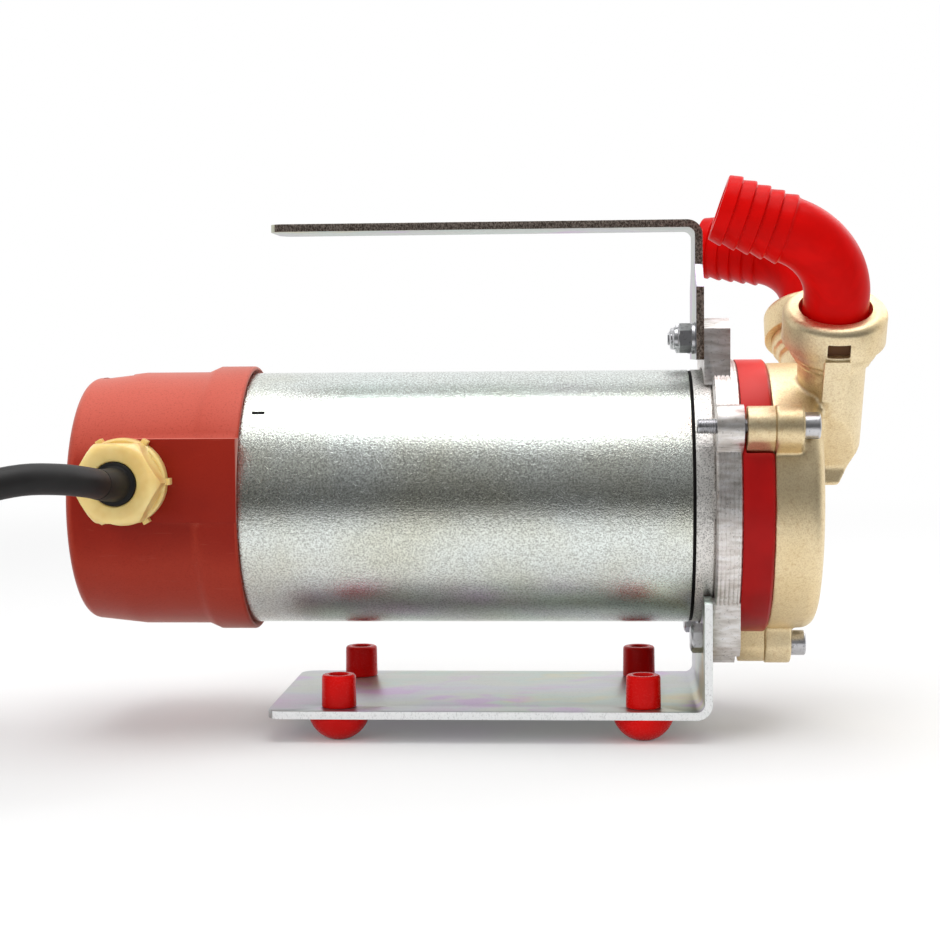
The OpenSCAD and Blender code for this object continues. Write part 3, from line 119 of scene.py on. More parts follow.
def dense(rows, step, closed=False):
    """The same profile with every stretch longer than step cut into equal shorter ones."""
    after = np.roll(rows, -1, axis=0) if closed else rows[1:]
    parts = []
    for a, b in zip(rows, after):
        count = max(1, math.ceil(np.linalg.norm((b - a)[:2]) / step))
        t = np.arange(count)[:, None] / count
        parts.append(a + (b - a) * t)
    if not closed:
        parts.append(rows[-1:])
    return np.concatenate(parts)


def straight(origin, way, first, second):
    """A straight carrier: centre = origin + along * way, with the same two cross directions all along."""
    origin, way, first, second = (np.asarray(v, float) for v in (origin, way, first, second))

    def place(along):
        ones = np.ones((len(along), 1))
        return origin + along[:, None] * way, ones * first, ones * second
    return place


def along_x(x, y, z):
    """A straight carrier along X."""
    return straight((x, y, z), X, Y, Z)


def turned(rows, place, columns, swell=None, offset=0.0):
    """Points centre + r (cos a first + sin a second): r is the row's radius, plus swell(along, angle),
    and nowhere more than its flat distance over the cosine of the angle from the nearest of six flats."""
    along, across = rows[:, 0], rows[:, 1]
    flat = rows[:, 2] if rows.shape[1] > 2 else np.zeros(len(rows))
    centre, first, second = place(along)
    angle = np.arange(columns) * TURN / columns
    radius = np.repeat(across[:, None], columns, axis=1)
    if swell is not None:
        radius = radius + swell(along[:, None], angle[None, :])
    sector = TURN / 6
    lean = (angle + offset + sector / 2) % sector - sector / 2
    limit = np.where(flat[:, None] > 0, flat[:, None] / np.cos(lean)[None, :], np.inf)
    radius = np.minimum(radius, limit)[..., None]
    spread = np.cos(angle)[None, :, None] * first[:, None] + np.sin(angle)[None, :, None] * second[:, None]
    return centre[:, None] + radius * spread


def skin(grid, loop=False):
    """Quads between the rows of a grid whose columns close on themselves; a fan closes each end. The
    sum of each face's corners a.(b x c) says which way the faces look, and they are turned outwards."""
    rows, cols = grid.shape[:2]
    index = np.arange(rows * cols).reshape(rows, cols)
    last = index if loop else index[:-1]
    ahead = np.roll(index, -1, axis=0) if loop else index[1:]
    quads = np.stack([last, np.roll(last, -1, 1), np.roll(ahead, -1, 1), ahead], -1).reshape(-1, 4)
    points, faces = grid.reshape(-1, 3), quads.tolist()
    if not loop:
        start, end = rows * cols, rows * cols + 1
        points = np.concatenate([points, grid[0].mean(0)[None], grid[-1].mean(0)[None]])
        first, final = index[0], index[-1]
        faces += np.stack([np.full(cols, start), np.roll(first, -1), first], -1).tolist()
        faces += np.stack([np.full(cols, end), final, np.roll(final, -1)], -1).tolist()
    a, b, c, d = (points[quads[:, k]] for k in range(4))
    volume = np.einsum("ij,ij->", a, np.cross(b, c)) + np.einsum("ij,ij->", a, np.cross(c, d))
    return points, faces if volume > 0 else [face[::-1] for face in faces]


def piece(name, skins, finish, replaced=(), body=None):
    """One object from several skins, in metres, shaded smooth with its sharp edges kept."""
    points, faces, start = [], [], 0
    for p, f in skins:
        points.append(p * MM)
        faces += [[i + start for i in face] for face in f]
        start += len(p)
    mesh = bpy.data.meshes.new(name)
    mesh.from_pydata(np.concatenate(points).tolist(), [], faces)
    mesh.update()
    mesh.shade_smooth()
    mesh.set_sharp_from_angle(angle=math.radians(35))
    return dress(put(name, mesh), finish, replaced, body)


def stand_in(name, skins, node, finish=None):
    """A piece that stands for one node, in the finish of the node's slot unless another is named."""
    return piece(name, skins, FINISHES[finish or slot_of[node]], (node,))


def dress(made, finish, replaced=(), body=None):
    """Gives a piece its material and body, and hides the nodes that it stands for."""
    made.data.materials.clear()
    made.data.materials.append(finish)
    if replaced:
        body = body or nodes[replaced[0]]["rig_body"]
        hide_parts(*replaced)
    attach(made, body)
    return made


def prism(outline, start, stop, axes, origin=(0, 0, 0)):
    """A closed bar: a flat outline, given along two axes, carried from start to stop along the third."""
    across, up, way = axes
    ends = [[np.asarray(origin) + a * across + b * up + along * way for a, b in outline]
            for along in (start, stop)]
    return skin(np.array(ends))


def merged_copy(prefix, node):
    """A copy of a node with its doubled points merged."""
    made = put(prefix + node, nodes[node].data.copy())
    weld = made.modifiers.new("weld", "WELD")
    weld.merge_threshold = 0.01 * MM
    return made


def add_bars(made, operation, shapes):
    """Joins bars to a piece or takes them out of it, and gives back their objects."""
    bars = []
    for points, faces in shapes:
        mesh = bpy.data.meshes.new("bar")
        mesh.from_pydata((points * MM).tolist(), [], faces)
        bars.append(put("bar", mesh))
        step = made.modifiers.new("bar", "BOOLEAN")
        step.operation, step.object, step.solver = operation, bars[-1], "EXACT"
    return bars


def apply_modifiers(made, bars):
    """Replaces the mesh by its finished form, so that no modifier stays, and removes the bars."""
    bpy.context.view_layer.update()
    graph = bpy.context.evaluated_depsgraph_get()
    finished = bpy.data.meshes.new_from_object(made.evaluated_get(graph))
    made.modifiers.clear()
    made.data = finished
    if finished.attributes.get("custom_normal"):
        finished.attributes.remove(finished.attributes["custom_normal"])
    for bar in bars:
        bpy.data.objects.remove(bar)


def eased(node, width, side_finish=None, cuts=()):
    """A merged copy of a node, cut by bars, with its sharp edges broken by a small round; the faces that
    look along Y, a sheet's sheared edges, may have a finish of their own."""
    made = merged_copy("eased_", node)
    bars = add_bars(made, "DIFFERENCE", cuts)
    edge = made.modifiers.new("edge", "BEVEL")
    edge.width, edge.segments = width * MM, 2
    edge.limit_method, edge.angle_limit = "ANGLE", math.radians(30)
    edge.use_clamp_overlap = True
    edge.miter_outer = "MITER_ARC"
    apply_modifiers(made, bars)
    made.data.shade_smooth()
    made.data.set_sharp_from_angle(angle=math.radians(50))
    dress(made, FINISHES[slot_of[node]], (node,))
    if side_finish:
        made.data.materials.append(FINISHES[side_finish])
        looks = np.zeros(len(made.data.polygons) * 3, np.float32)
        made.data.polygons.foreach_get("normal", looks)
        made.data.polygons.foreach_set("material_index", (np.abs(looks[1::3]) > 0.8).astype(np.int32))


def cast(node, cell, rounds, cuts, fills):
    """A merged copy of a node, filled out and cut by bars, rebuilt in small cells and relaxed, as a
    casting's corners are."""
    made = merged_copy("cast_", node)
    bars = add_bars(made, "UNION", fills) + add_bars(made, "DIFFERENCE", cuts)
    cells = made.modifiers.new("cells", "REMESH")
    cells.mode, cells.voxel_size = "VOXEL", cell * MM
    relax = made.modifiers.new("relax", "SMOOTH")
    relax.factor, relax.iterations = 0.5, rounds
    apply_modifiers(made, bars)
    made.data.shade_smooth()
    dress(made, FINISHES[slot_of[node]], (node,))


# Shader maths
class Wire:
    """One output of a shader node; sums and products on it add Math nodes."""

    def __init__(self, graph, socket):
        self.graph, self.socket = graph, socket

    def math(self, operation, *values):
        return self.graph.node("ShaderNodeMath", {"operation": operation}, dict(enumerate(values)))

    def __add__(self, other):
        return self.math("ADD", self, other)

    def __mul__(self, other):
        return self.math("MULTIPLY", self, other)

    __radd__, __rmul__ = __add__, __mul__


class Graph:
    """The nodes of a material or a world and the links between them."""

    def __init__(self, owner):
        owner.use_nodes = True
        self.tree = owner.node_tree

    def feed(self, socket, value):
        """Links a wire to a socket, or gives the socket a plain value."""
        if isinstance(value, Wire):
            self.tree.links.new(value.socket, socket)
        else:
            socket.default_value = value

    def node(self, kind, settings, inputs, output=0):
        """A new node with its settings and inputs; gives back one of its outputs."""
        made = self.tree.nodes.new(kind)
        for key, value in settings.items():
            if key == "stops":
                while len(made.color_ramp.elements) < len(value):
                    made.color_ramp.elements.new(0.5)
                for element, (at, colour) in zip(made.color_ramp.elements, value):
                    element.position, element.color = at, colour
            else:
                setattr(made, key, value)
        for key, value in inputs.items():
            self.feed(made.inputs[key], value)
        return Wire(self, made.outputs[output])


class Finish(Graph):
    """A material in the making: one surface shader and the nodes that feed it."""

    def __init__(self, name, **values):
        self.material = bpy.data.materials.new(name)
        super().__init__(self.material)
        self.shader = self.tree.nodes["Principled BSDF"]
        self.place = self.node("ShaderNodeTexCoord", {}, {}, "Object")
        self.set(**values)

    def set(self, **values):
        for key, value in values.items():
            self.feed(self.shader.inputs[key.replace("_", " ")], value)

    def stretch(self, scale, turn=(0, 0, 0), centre=(0, 0, 0)):
        """Object coordinates moved, turned and scaled along each axis."""
        return self.node("ShaderNodeMapping", {}, {"Vector": self.place, "Location": centre,
                                                   "Rotation": turn, "Scale": scale})

    def along(self, axis, vector=None):
        """One part of a vector, or of the object coordinates."""
        return self.node("ShaderNodeSeparateXYZ", {}, {0: vector or self.place}, axis)

    def facing(self, axis):
        """How far the surface looks along an axis, from -1 to 1."""
        return self.along(axis, self.node("ShaderNodeNewGeometry", {}, {}, "Normal"))

    def noise(self, scale, detail=2, rough=0.5, place=None):
        return self.node("ShaderNodeTexNoise", {}, {"Vector": place or self.place, "Scale": scale,
                                                    "Detail": detail, "Roughness": rough})

    def cells(self, scale, output="Distance"):
        return self.node("ShaderNodeTexVoronoi", {}, {"Vector": self.place, "Scale": scale}, output)

    def span(self, value, low, high, out_low=0.0, out_high=1.0):
        """A smooth step of a value from low to high."""
        return self.node("ShaderNodeMapRange", {"interpolation_type": "SMOOTHSTEP"},
                         {0: value, 1: low, 2: high, 3: out_low, 4: out_high})

    def inside(self, value, start, stop, edge):
        """1 between start and stop and 0 outside, with soft edges of a given width within."""
        return self.span(value, start, start + edge) * self.span(value, stop - edge, stop, 1, 0)

    def ramp(self, value, *stops):
        return self.node("ShaderNodeValToRGB", {"stops": stops}, {0: value})

    def mix(self, factor, a, b):
        return self.node("ShaderNodeMix", {"data_type": "RGBA"}, {0: factor, 6: a, 7: b}, 2)

    def bump(self, height, depth, strength):
        """Relief of a depth in millimetres."""
        return self.node("ShaderNodeBump", {},
                         {"Height": height, "Distance": depth * MM, "Strength": strength})


def tint(red, green, blue):
    """A screen colour of 0 to 255 as the linear colour that a shader takes."""
    linear = [c / 255 / 12.92 if c <= 10 else ((c / 255 + 0.055) / 1.055) ** 2.4
              for c in (red, green, blue)]
    return (*linear, 1.0)


# Finishes
def passivated_sheet():
    """Zinc-plated sheet: drawn grain along X under thin clouds of pink, violet, green and straw."""
    f = Finish("zinc_sheet", Metallic=1.0)
    patch = f.noise(17, 3, 0.55, f.stretch((1, 1.6, 1)))
    second = f.noise(40, 2, 0.5, f.stretch((1, 1, 1), centre=(3, 1, 2)))
    grain = f.noise(1, 3, 0.6, f.stretch((50, 700, 700)))
    speck = f.noise(1500, 2, 0.6)
    colour = f.ramp(patch, (0.30, tint(188, 170, 188)), (0.42, tint(182, 184, 190)),
                    (0.52, tint(186, 188, 182)), (0.60, tint(178, 190, 184)), (0.70, tint(196, 188, 158)))
    colour = f.mix(f.span(second, 0.56, 0.70, 0, 0.8), colour, tint(188, 158, 196))
    colour = f.mix(f.span(speck, 0.60, 0.75, 0, 0.4), colour, tint(104, 100, 98))
    f.set(Base_Color=colour, Roughness=0.27 + grain * 0.12 + speck * 0.06,
          Normal=f.bump(grain * 0.5 + speck * 0.5, 0.04, 0.5))
    return f.material


def sheared_edge(name, dark, light, low, high, metallic):
    """Sheared edge of the sheet: torn grain between a dark and a light tone, in short strokes across it."""
    f = Finish(name, Metallic=metallic)
    torn = f.noise(1, 4, 0.75, f.stretch((1700, 1700, 1100)))
    f.set(Base_Color=f.mix(f.span(torn, low, high), tint(*dark), tint(*light)), Roughness=0.42 + torn * 0.2,
          Normal=f.bump(torn, 0.12, 0.8))
    return f.material


def motor_zinc():
    """Zinc-coated tube: fine spangle that breaks up its reflections, lengthwise draw marks, dull spots,
    clouds of grey and green, and one short black index dash beside the cover."""
    f = Finish("zinc_tube", Metallic=1.0)
    spangle = f.node("ShaderNodeRGBToBW", {}, {0: f.cells(650, output="Color")})
    speck = f.noise(1500, 3, 0.7)
    draw = f.noise(1, 3, 0.6, f.stretch((22, 520, 520)))
    cloud = f.noise(14, 4, 0.55)
    colour = f.ramp(cloud, (0.34, tint(228, 230, 216)), (0.5, tint(238, 244, 240)),
                    (0.66, tint(244, 254, 252)))
    colour = f.mix(f.span(speck, 0.40, 0.66, 0, 0.6), colour, tint(124, 124, 116))
    dash = f.inside(f.along("X"), -0.0912, -0.0860, 0.0002) * f.inside(f.along("Z"), 0.1251, 0.1263, 0.0001)
    near_side = f.span(f.along("Y"), -0.001, 0, 1, 0)
    colour = f.mix(dash * near_side, colour, tint(18, 18, 18))
    f.set(Base_Color=colour, Roughness=0.10 + speck * 0.16 + draw * 0.06,
          Normal=f.bump(speck + draw * 0.3 + spangle * 0.3, 0.15, 0.8))
    return f.material


def steel(name, colour=(205, 205, 208), rough=0.25):
    """Bright plated steel with a fine grain and small dull specks."""
    f = Finish(name, Metallic=1.0)
    lines = f.noise(1, 3, 0.6, f.stretch((400, 400, 400)))
    speck = f.noise(900, 2, 0.6)
    dark = tint(*(int(c * 0.55) for c in colour))
    f.set(Base_Color=f.mix(f.span(speck, 0.55, 0.75, 0, 0.6), tint(*colour), dark),
          Roughness=rough + lines * 0.14, Normal=f.bump(lines, 0.04, 0.5))
    return f.material


def blasted_aluminium():
    """Cast shield: shot-blasted beads over a faint casting skin."""
    f = Finish("cast_aluminium", Metallic=1.0)
    beads = f.cells(900)
    speck = f.noise(1600, 3, 0.7)
    skin_tone = f.noise(120, 3, 0.6)
    colour = f.ramp(skin_tone, (0.3, tint(230, 228, 224)), (0.7, tint(250, 248, 244)))
    colour = f.mix(f.span(speck, 0.46, 0.68, 0, 0.7), colour, tint(104, 98, 94))
    f.set(Base_Color=colour, Roughness=0.38 + speck * 0.2,
          Normal=f.bump(beads * 0.8 + speck * 0.6, 0.16, 0.7))
    return f.material


def machined_aluminium():
    """Turned and milled flange: short scratches along X on its rim and fine dull specks."""
    f = Finish("machined_aluminium", Metallic=1.0)
    lines = f.noise(1, 2, 0.5, f.stretch((170, 640, 640), (0.6, 0.03, 0.02), (0.37, 0.2, 0.6)))
    wide = f.noise(1, 2, 0.5, f.stretch((30, 240, 240), (0.6, 0, 0), (0.4, 0.3, 0.7)))
    speck = f.noise(900, 3, 0.7, f.stretch((1, 1, 1), (0.6, 0.5, 0.4)))
    colour = f.ramp(lines, (0.30, tint(204, 198, 192)), (0.5, tint(230, 226, 222)),
                    (0.72, tint(248, 246, 246)))
    colour = f.mix(f.span(wide, 0.45, 0.75, 0, 0.4), colour, tint(198, 184, 180))
    colour = f.mix(f.span(speck, 0.56, 0.70, 0, 0.45), colour, tint(116, 110, 108))
    f.set(Base_Color=colour, Roughness=0.34 + lines * 0.14,
          Normal=f.bump(lines * 0.4 + speck * 0.7, 0.08, 0.6))
    return f.material


def moulded(name, colour, rough=0.35, mottle=0.06, texture=1500, depth=0.02, gloss=0.25, painted_top_highlight=None):
    """Moulded plastic or rubber: a slight flow mottle in its colour and a fine skin; where a highlight tone is
    given, what looks upwards is painted paler towards it, a painted highlight."""
    f = Finish(name, Specular_IOR_Level=gloss)
    flow = f.noise(28, 3, 0.55)
    fine = f.noise(texture, 2, 0.55)
    low = tint(*(max(0, int(c * (1 - 2 * mottle))) for c in colour))
    high = tint(*(min(255, int(c * (1 + mottle)) + 2) for c in colour))
    body = f.mix(f.span(flow, 0.3, 0.7), low, high)
    if painted_top_highlight:
        # What looks upwards is painted paler towards the highlight tone: a painted highlight.
        body = f.mix(f.span(f.facing("Z"), 0.25, 0.95), body, tint(*painted_top_highlight))
    f.set(Base_Color=body, Roughness=rough + fine * 0.08 + flow * 0.05,
          Normal=f.bump(fine * 0.5 + flow, depth, 0.5))
    return f.material


def terracotta_cover():
    """Reddish-brown moulded cover: satin skin with faint scuffs. Its colour is painted by where each face
    looks:
    the faces that look straight at the near side keep the deep colour, the others get a painted sheen, palest
    upwards."""
    f = Finish("cover_plastic", Specular_IOR_Level=0.16, Sheen_Weight=0.5, Sheen_Roughness=0.35,
               Sheen_Tint=(1.0, 0.72, 0.62, 1.0))
    flow = f.noise(18, 4, 0.55)
    fine = f.noise(1500, 3, 0.65)
    scuff = f.noise(1, 4, 0.7, f.stretch((60, 420, 420)))
    # Painted sheen: the faces that look upwards are painted paler.
    pale = f.mix(f.span(f.facing("Z"), 0.1, 0.95), tint(164, 50, 32), tint(206, 96, 80))
    deep = f.mix(f.span(flow, 0.3, 0.7), tint(138, 26, 10), tint(150, 33, 15))
    # Only the faces that look straight at the near side keep the deep colour; the others take the painted
    # sheen.
    colour = f.mix(f.span(f.facing("Y"), -0.86, -0.99), pale, deep)
    colour = f.mix(f.span(fine, 0.5, 0.72, 0, 0.3), colour, tint(104, 20, 10))
    colour = f.mix(f.span(scuff, 0.60, 0.74, 0, 0.18), colour, tint(184, 96, 82))
    f.set(Base_Color=colour, Roughness=0.40 + fine * 0.14 + scuff * 0.05,
          Normal=f.bump(fine + flow * 0.4, 0.08, 0.6))
    return f.material


def blasted_brass():
    """Sand-blasted brass casting: a pale frosted grain, with darker patches in a fine and a coarser noise."""
    f = Finish("sandblasted_brass", Metallic=1.0)
    grain = f.noise(1500, 3, 0.7)
    rough_skin = f.noise(420, 3, 0.6)
    cloud = f.noise(26, 3, 0.5)
    colour = f.ramp(cloud, (0.3, tint(236, 214, 168)), (0.7, tint(250, 234, 198)))
    colour = f.mix(f.span(grain, 0.38, 0.70, 0, 0.34), colour, tint(186, 150, 94))
    colour = f.mix(f.span(rough_skin, 0.52, 0.74, 0, 0.3), colour, tint(198, 160, 102))
    f.set(Base_Color=colour, Roughness=0.36 + grain * 0.18,
          Normal=f.bump(grain * 0.6 + rough_skin * 0.8, 0.16, 0.8))
    return f.material


def nylon(name, colour):
    """Glossy glass-filled nylon: deep colour, faint streaks and a smooth clear skin."""
    f = Finish(name, Specular_IOR_Level=0.06)
    streak = f.noise(1, 3, 0.6, f.stretch((50, 160, 50)))
    fine = f.noise(900, 2, 0.5)
    low = tint(*(int(c * 0.93) for c in colour))
    f.set(Base_Color=f.mix(f.span(streak, 0.35, 0.65), low, tint(*colour)),
          Roughness=0.26 + fine * 0.1, Normal=f.bump(fine * 0.4 + streak * 0.3, 0.03, 0.5))
    return f.material


def clear_nylon():
    """Natural nylon of the gland: cream, slightly see-through, waxy."""
    f = Finish("gland_nylon", Coat_Weight=0.35, Coat_Roughness=0.15, Subsurface_Weight=0.35,
               Subsurface_Scale=0.004)
    f.shader.inputs["Subsurface Radius"].default_value = (1.0, 0.75, 0.35)
    cloud = f.noise(90, 3, 0.5)
    fine = f.noise(1500, 2, 0.5)
    f.set(Base_Color=f.mix(f.span(cloud, 0.3, 0.7), tint(236, 200, 122), tint(250, 222, 150)),
          Roughness=0.26 + fine * 0.1, Normal=f.bump(fine * 0.5 + cloud, 0.03, 0.5))
    return f.material


def enamelled_copper():
    """Enamelled wire heads: thin bright strands round the motor's axis."""
    f = Finish("copper_wire", Metallic=0.7, Coat_Weight=0.6)
    strand = f.node("ShaderNodeTexWave", {"wave_type": "BANDS", "bands_direction": "X"},
                    {"Vector": f.place, "Scale": 240.0, "Distortion": 3.0, "Detail": 2.0})
    f.set(Base_Color=f.mix(strand, tint(120, 56, 28), tint(196, 112, 66)), Roughness=0.3 + strand * 0.1,
          Normal=f.bump(strand, 0.3, 0.6))
    return f.material


def laminated_steel():
    """Stacked core sheets: half-millimetre lines across X."""
    f = Finish("core_steel", Metallic=1.0)
    sheet = f.node("ShaderNodeTexWave", {"wave_type": "BANDS", "bands_direction": "X", "wave_profile": "SAW"},
                   {"Vector": f.place, "Scale": 320.0})
    f.set(Base_Color=f.mix(sheet, tint(90, 90, 96), tint(132, 132, 138)), Roughness=0.4 + sheet * 0.1,
          Normal=f.bump(sheet, 0.1, 0.5))
    return f.material


FINISHES = {m.name: m for m in (
    passivated_sheet(), motor_zinc(), blasted_aluminium(), machined_aluminium(), laminated_steel(),
    enamelled_copper(), terracotta_cover(), blasted_brass(), clear_nylon(),
    steel("bright_steel"), steel("bearing_steel", (190, 190, 195), 0.2),
    steel("turned_brass", (214, 180, 118), 0.3), steel("plated_pins", (214, 212, 206), 0.18),
    sheared_edge("bright_sheared_edge", (214, 216, 216), (244, 246, 246), 0.34, 0.5, 0.2),
    sheared_edge("dark_sheared_edge", (78, 68, 60), (166, 154, 144), 0.38, 0.66, 0.85),
    nylon("red_nylon", (214, 8, 6)),
    moulded("foot_rubber", (208, 6, 3), 0.2, gloss=0.14), moulded("red_rubber", (14, 11, 11), 0.5, gloss=0.1),
    # The ring is painted paler on its upward faces, a painted highlight.
    moulded("ring_plastic", (164, 12, 12), 0.28, gloss=0.14, painted_top_highlight=(228, 66, 62)),
    moulded("black_plastic", (26, 26, 28), 0.38), moulded("grey_plastic", (92, 94, 96), 0.42),
    moulded("pale_plastic", (222, 216, 200), 0.4), moulded("black_rubber", (24, 23, 23), 0.55),
    moulded("cable_rubber", (30, 29, 29), 0.42, 0.15, 1200, 0.04),
    # Dark brown for the plate behind the union nuts' windows: painted shade.
    moulded("brown_seal", (92, 62, 40), 0.5, gloss=0.1))}


# Cable
CABLE_D = 11.0
CABLE_R = CABLE_D / 2
GLAND_EXIT = [-137, -66.2, 100.7]
LEAD = [GLAND_EXIT, [-137, -72, 100.7], [-137.5, -86, 101.6], [-140, -100, 103.6], [-146, -114, 105.4],
        [-155, -126, 105.9], [-166.5, -136, 103.5], [-179, -143, 98], [-191, -146.5, 89.4],
        [-201.5, -148, 78.4], [-211, -148, 66.7], [-221, -147.3, 55], [-231, -146.2, 43.4],
        [-242, -144.2, 32.7], [-254.5, -141.3, 24.8], [-268, -137.2, 20], [-282.5, -131.5, 18.2],
        [-292.5, -127, 18.2]]
TAIL = [[-336, -106.5, 6.8], [-348, -97.5, 8.5], [-358, -86.5, 11.7], [-366.5, -74, 15.2],
        [-373, -60.5, 18], [-377, -46.5, 19.1], [-379.2, -35.5, 19.1]]
COIL_TURNS, COIL_PITCH, COIL_LAYER, COIL_TOP = 3, 11.9, 11.6, 18.2
COIL_MID_D = 118
COIL_OUT_R = COIL_MID_D / 2 + COIL_TURNS / 4 * COIL_PITCH
LEAD_WAY = unit(np.subtract(LEAD[-1], LEAD[-2]))
COIL_SIDE = np.array([LEAD_WAY[1], -LEAD_WAY[0], 0])
COIL_MIDDLE = np.array(LEAD[-1]) + CABLE_D * LEAD_WAY + COIL_OUT_R * COIL_SIDE
COIL_ANGLE = math.atan2(-COIL_SIDE[1], -COIL_SIDE[0])
TIE_TURN = math.radians(60)


def coil_points(t):
    """Spiral in on the top layer and out on the lower one, t in turns: the radius falls by a pitch a turn
    to the middle of the winding and grows again, and the height eases down in the half turn between."""
    t = np.atleast_1d(t)
    radius = COIL_OUT_R - COIL_PITCH * np.minimum(t, COIL_TURNS - t)
    drop = np.clip(2 * t - COIL_TURNS + 0.5, 0, 1)
    angle = COIL_ANGLE - TURN * t
    return np.stack([COIL_MIDDLE[0] + radius * np.cos(angle), COIL_MIDDLE[1] + radius * np.sin(angle),
                     COIL_TOP - COIL_LAYER * drop * drop * (3 - 2 * drop)], -1)


def smooth_route(points, step):
    """A centripetal curve through the points: between p1 and p2 it blends the lines through p0..p3."""
    points = np.array(points, float)
    ends = np.vstack([2 * points[0] - points[1], points, 2 * points[-1] - points[-2]])
    out = []
    for p0, p1, p2, p3 in zip(ends, ends[1:], ends[2:], ends[3:]):
        knots = np.cumsum([0] + [np.linalg.norm(b - a) ** 0.5 for a, b in ((p0, p1), (p1, p2), (p2, p3))])
        count = max(2, round(np.linalg.norm(p2 - p1) / step))
        t = np.linspace(knots[1], knots[2], count, endpoint=False)[:, None]

        def line(a, b, t0, t1):
            return ((t1 - t) * a + (t - t0) * b) / (t1 - t0)
        a1, a2, a3 = (line(a, b, knots[i], knots[i + 1]) for i, (a, b) in
                      enumerate(((p0, p1), (p1, p2), (p2, p3))))
        b1, b2 = line(a1, a2, knots[0], knots[2]), line(a2, a3, knots[1], knots[3])
        out.append(line(b1, b2, knots[1], knots[2]))
    return np.vstack(out + [points[-1:]])


def carrier(route):
    """A carrier on a route: the along value is the distance walked, the cross directions stay level and up."""
    walked = np.concatenate([[0], np.cumsum(np.linalg.norm(np.diff(route, axis=0), axis=1))])
    way = unit(np.gradient(route, axis=0))
    first = unit(np.cross(Z, way))
    second = np.cross(way, first)

    def place(along):
        return tuple(np.stack([np.interp(along, walked, v[:, k]) for k in range(3)], -1)
                     for v in (route, first, second))
    return place, walked


def add_cable():
    """Cable with its sleeve at the gland, the tie round its coil and its plug, in one route."""
    coil_exit = np.array([*LEAD[-1][:2], COIL_TOP - COIL_LAYER]) + 2 * CABLE_D * LEAD_WAY
    coil_steps = coil_points(np.arange(0, COIL_TURNS + 1e-9, 1 / 24))
    points = np.vstack([LEAD, coil_steps, [coil_exit, coil_exit + CABLE_D * LEAD_WAY], TAIL])
    route = smooth_route(points, 4)
    place, walked = carrier(route)
    rows = np.stack([walked, np.full(len(walked), CABLE_R)], -1)
    cable = piece("mains_cable", [skin(turned(rows, place, 24))], FINISHES["cable_rubber"],
                  ("cable_lead", "cable_coil", "cable_tail"))
    sleeve = add_sleeve(place)
    tie = add_tie()
    plug = add_plug(np.array(TAIL[-1], float), np.array(TAIL[-2], float))
    (route * MM).tolist()


def add_sleeve(place):
    """Sleeve round the start of the cable: a lip in the gland's mouth, then a taper down to the cable."""
    rows = softened([(0.6, CABLE_R + 0.03, 0), (0.6, 7, 0.3), (1.75, 7, 0.3), (1.75, 8.2, 0.2), (4, 8.2, 0.8),
                     (4.4, 6.5, 0.8), (7, 6.2, 1.5), (24, CABLE_R + 0.08, 0)])
    return piece("cable_sleeve", [skin(turned(dense(rows, 0.8), place, 48))], FINISHES["black_rubber"],
                 body="housing")


def add_tie():
    """Tie round three turns of the coil: in each direction across it the band lies on the farthest circle."""
    middle = np.array([COIL_MIDDLE[0], COIL_MIDDLE[1], 0])
    out_way = np.array([math.cos(COIL_ANGLE + TIE_TURN), math.sin(COIL_ANGLE + TIE_TURN), 0])
    across = np.cross(Z, out_way)
    turns = coil_points(np.arange(1, COIL_TURNS + 1) - TIE_TURN / TURN)
    flat = np.stack([(turns - middle) @ out_way, turns[:, 2]], -1)
    angle = np.arange(96) * TURN / 96
    push = np.stack([np.cos(angle), np.sin(angle)], -1)
    hold = flat[np.argmax(push @ flat.T, axis=1)]
    band = softened([(-5, 0.6, 0.3), (5, 0.6, 0.3), (5, 1.4, 0.3), (-5, 1.4, 0.3)], True, 3)[:, :2]
    ring = hold[None] + (CABLE_R + band[:, None, 1])[..., None] * push[None]
    grid = middle + ring[..., :1] * out_way + ring[..., 1:] * Z + band[:, :1, None] * across
    return stand_in("coil_tie_band", [skin(grid, True)], "coil_tie", "black_rubber")


def add_plug(end, before):
    """Moulded plug: a ribbed grip, a shoulder and a head with two flat cheeks, in one turned skin whose
    width is held between the cheeks."""
    heading = math.atan2(*(end - before)[1::-1])
    way = np.array([math.cos(heading), math.sin(heading), 0])
    side = np.array([-math.sin(heading), math.cos(heading), 0])
    rows = softened([(0, 5.9, 0), (0, 7.2, 0.8), (26, 9.5, 1), (36, 17, 3), (38.5, 19, 2.5), (50, 19, 2.5),
                     (52, 16.5, 2), (52, 0.4, 0)])
    rows = dense(rows, 0.8)
    rib_pitch, rib_depth, cheek = 4.4, 0.9, 15

    def ribs(along, angle):
        wave = np.clip(np.sin(along * TURN / rib_pitch), 0, 1) ** 0.7
        return -rib_depth * wave * (along > 4) * (along < 24)

    grid = turned(rows, straight(end, way, -Z, side), 72, ribs)
    wide = (grid - end) @ side
    held = cheek * np.tanh((np.abs(wide) / cheek) ** 4) ** 0.25
    grid += (np.sign(wide) * np.minimum(held, np.abs(wide)) - wide)[..., None] * side
    return stand_in("plug_moulding", [skin(grid)], "plug_body")


# Turned and threaded pieces
THREAD_PITCH, THREAD_DEPTH, THREAD_STEP = 1.0, 0.55, 0.125


def thread(start, stop):
    """A helical groove: its depth is a triangle wave of along / pitch less the share of a turn."""
    def swell(along, angle):
        phase = (along / THREAD_PITCH - angle / TURN) % 1
        fade = np.clip((along - start) * 2, 0, 1) * np.clip((stop - along) * 2, 0, 1)
        return -THREAD_DEPTH * np.abs(2 * phase - 1) * fade
    return swell


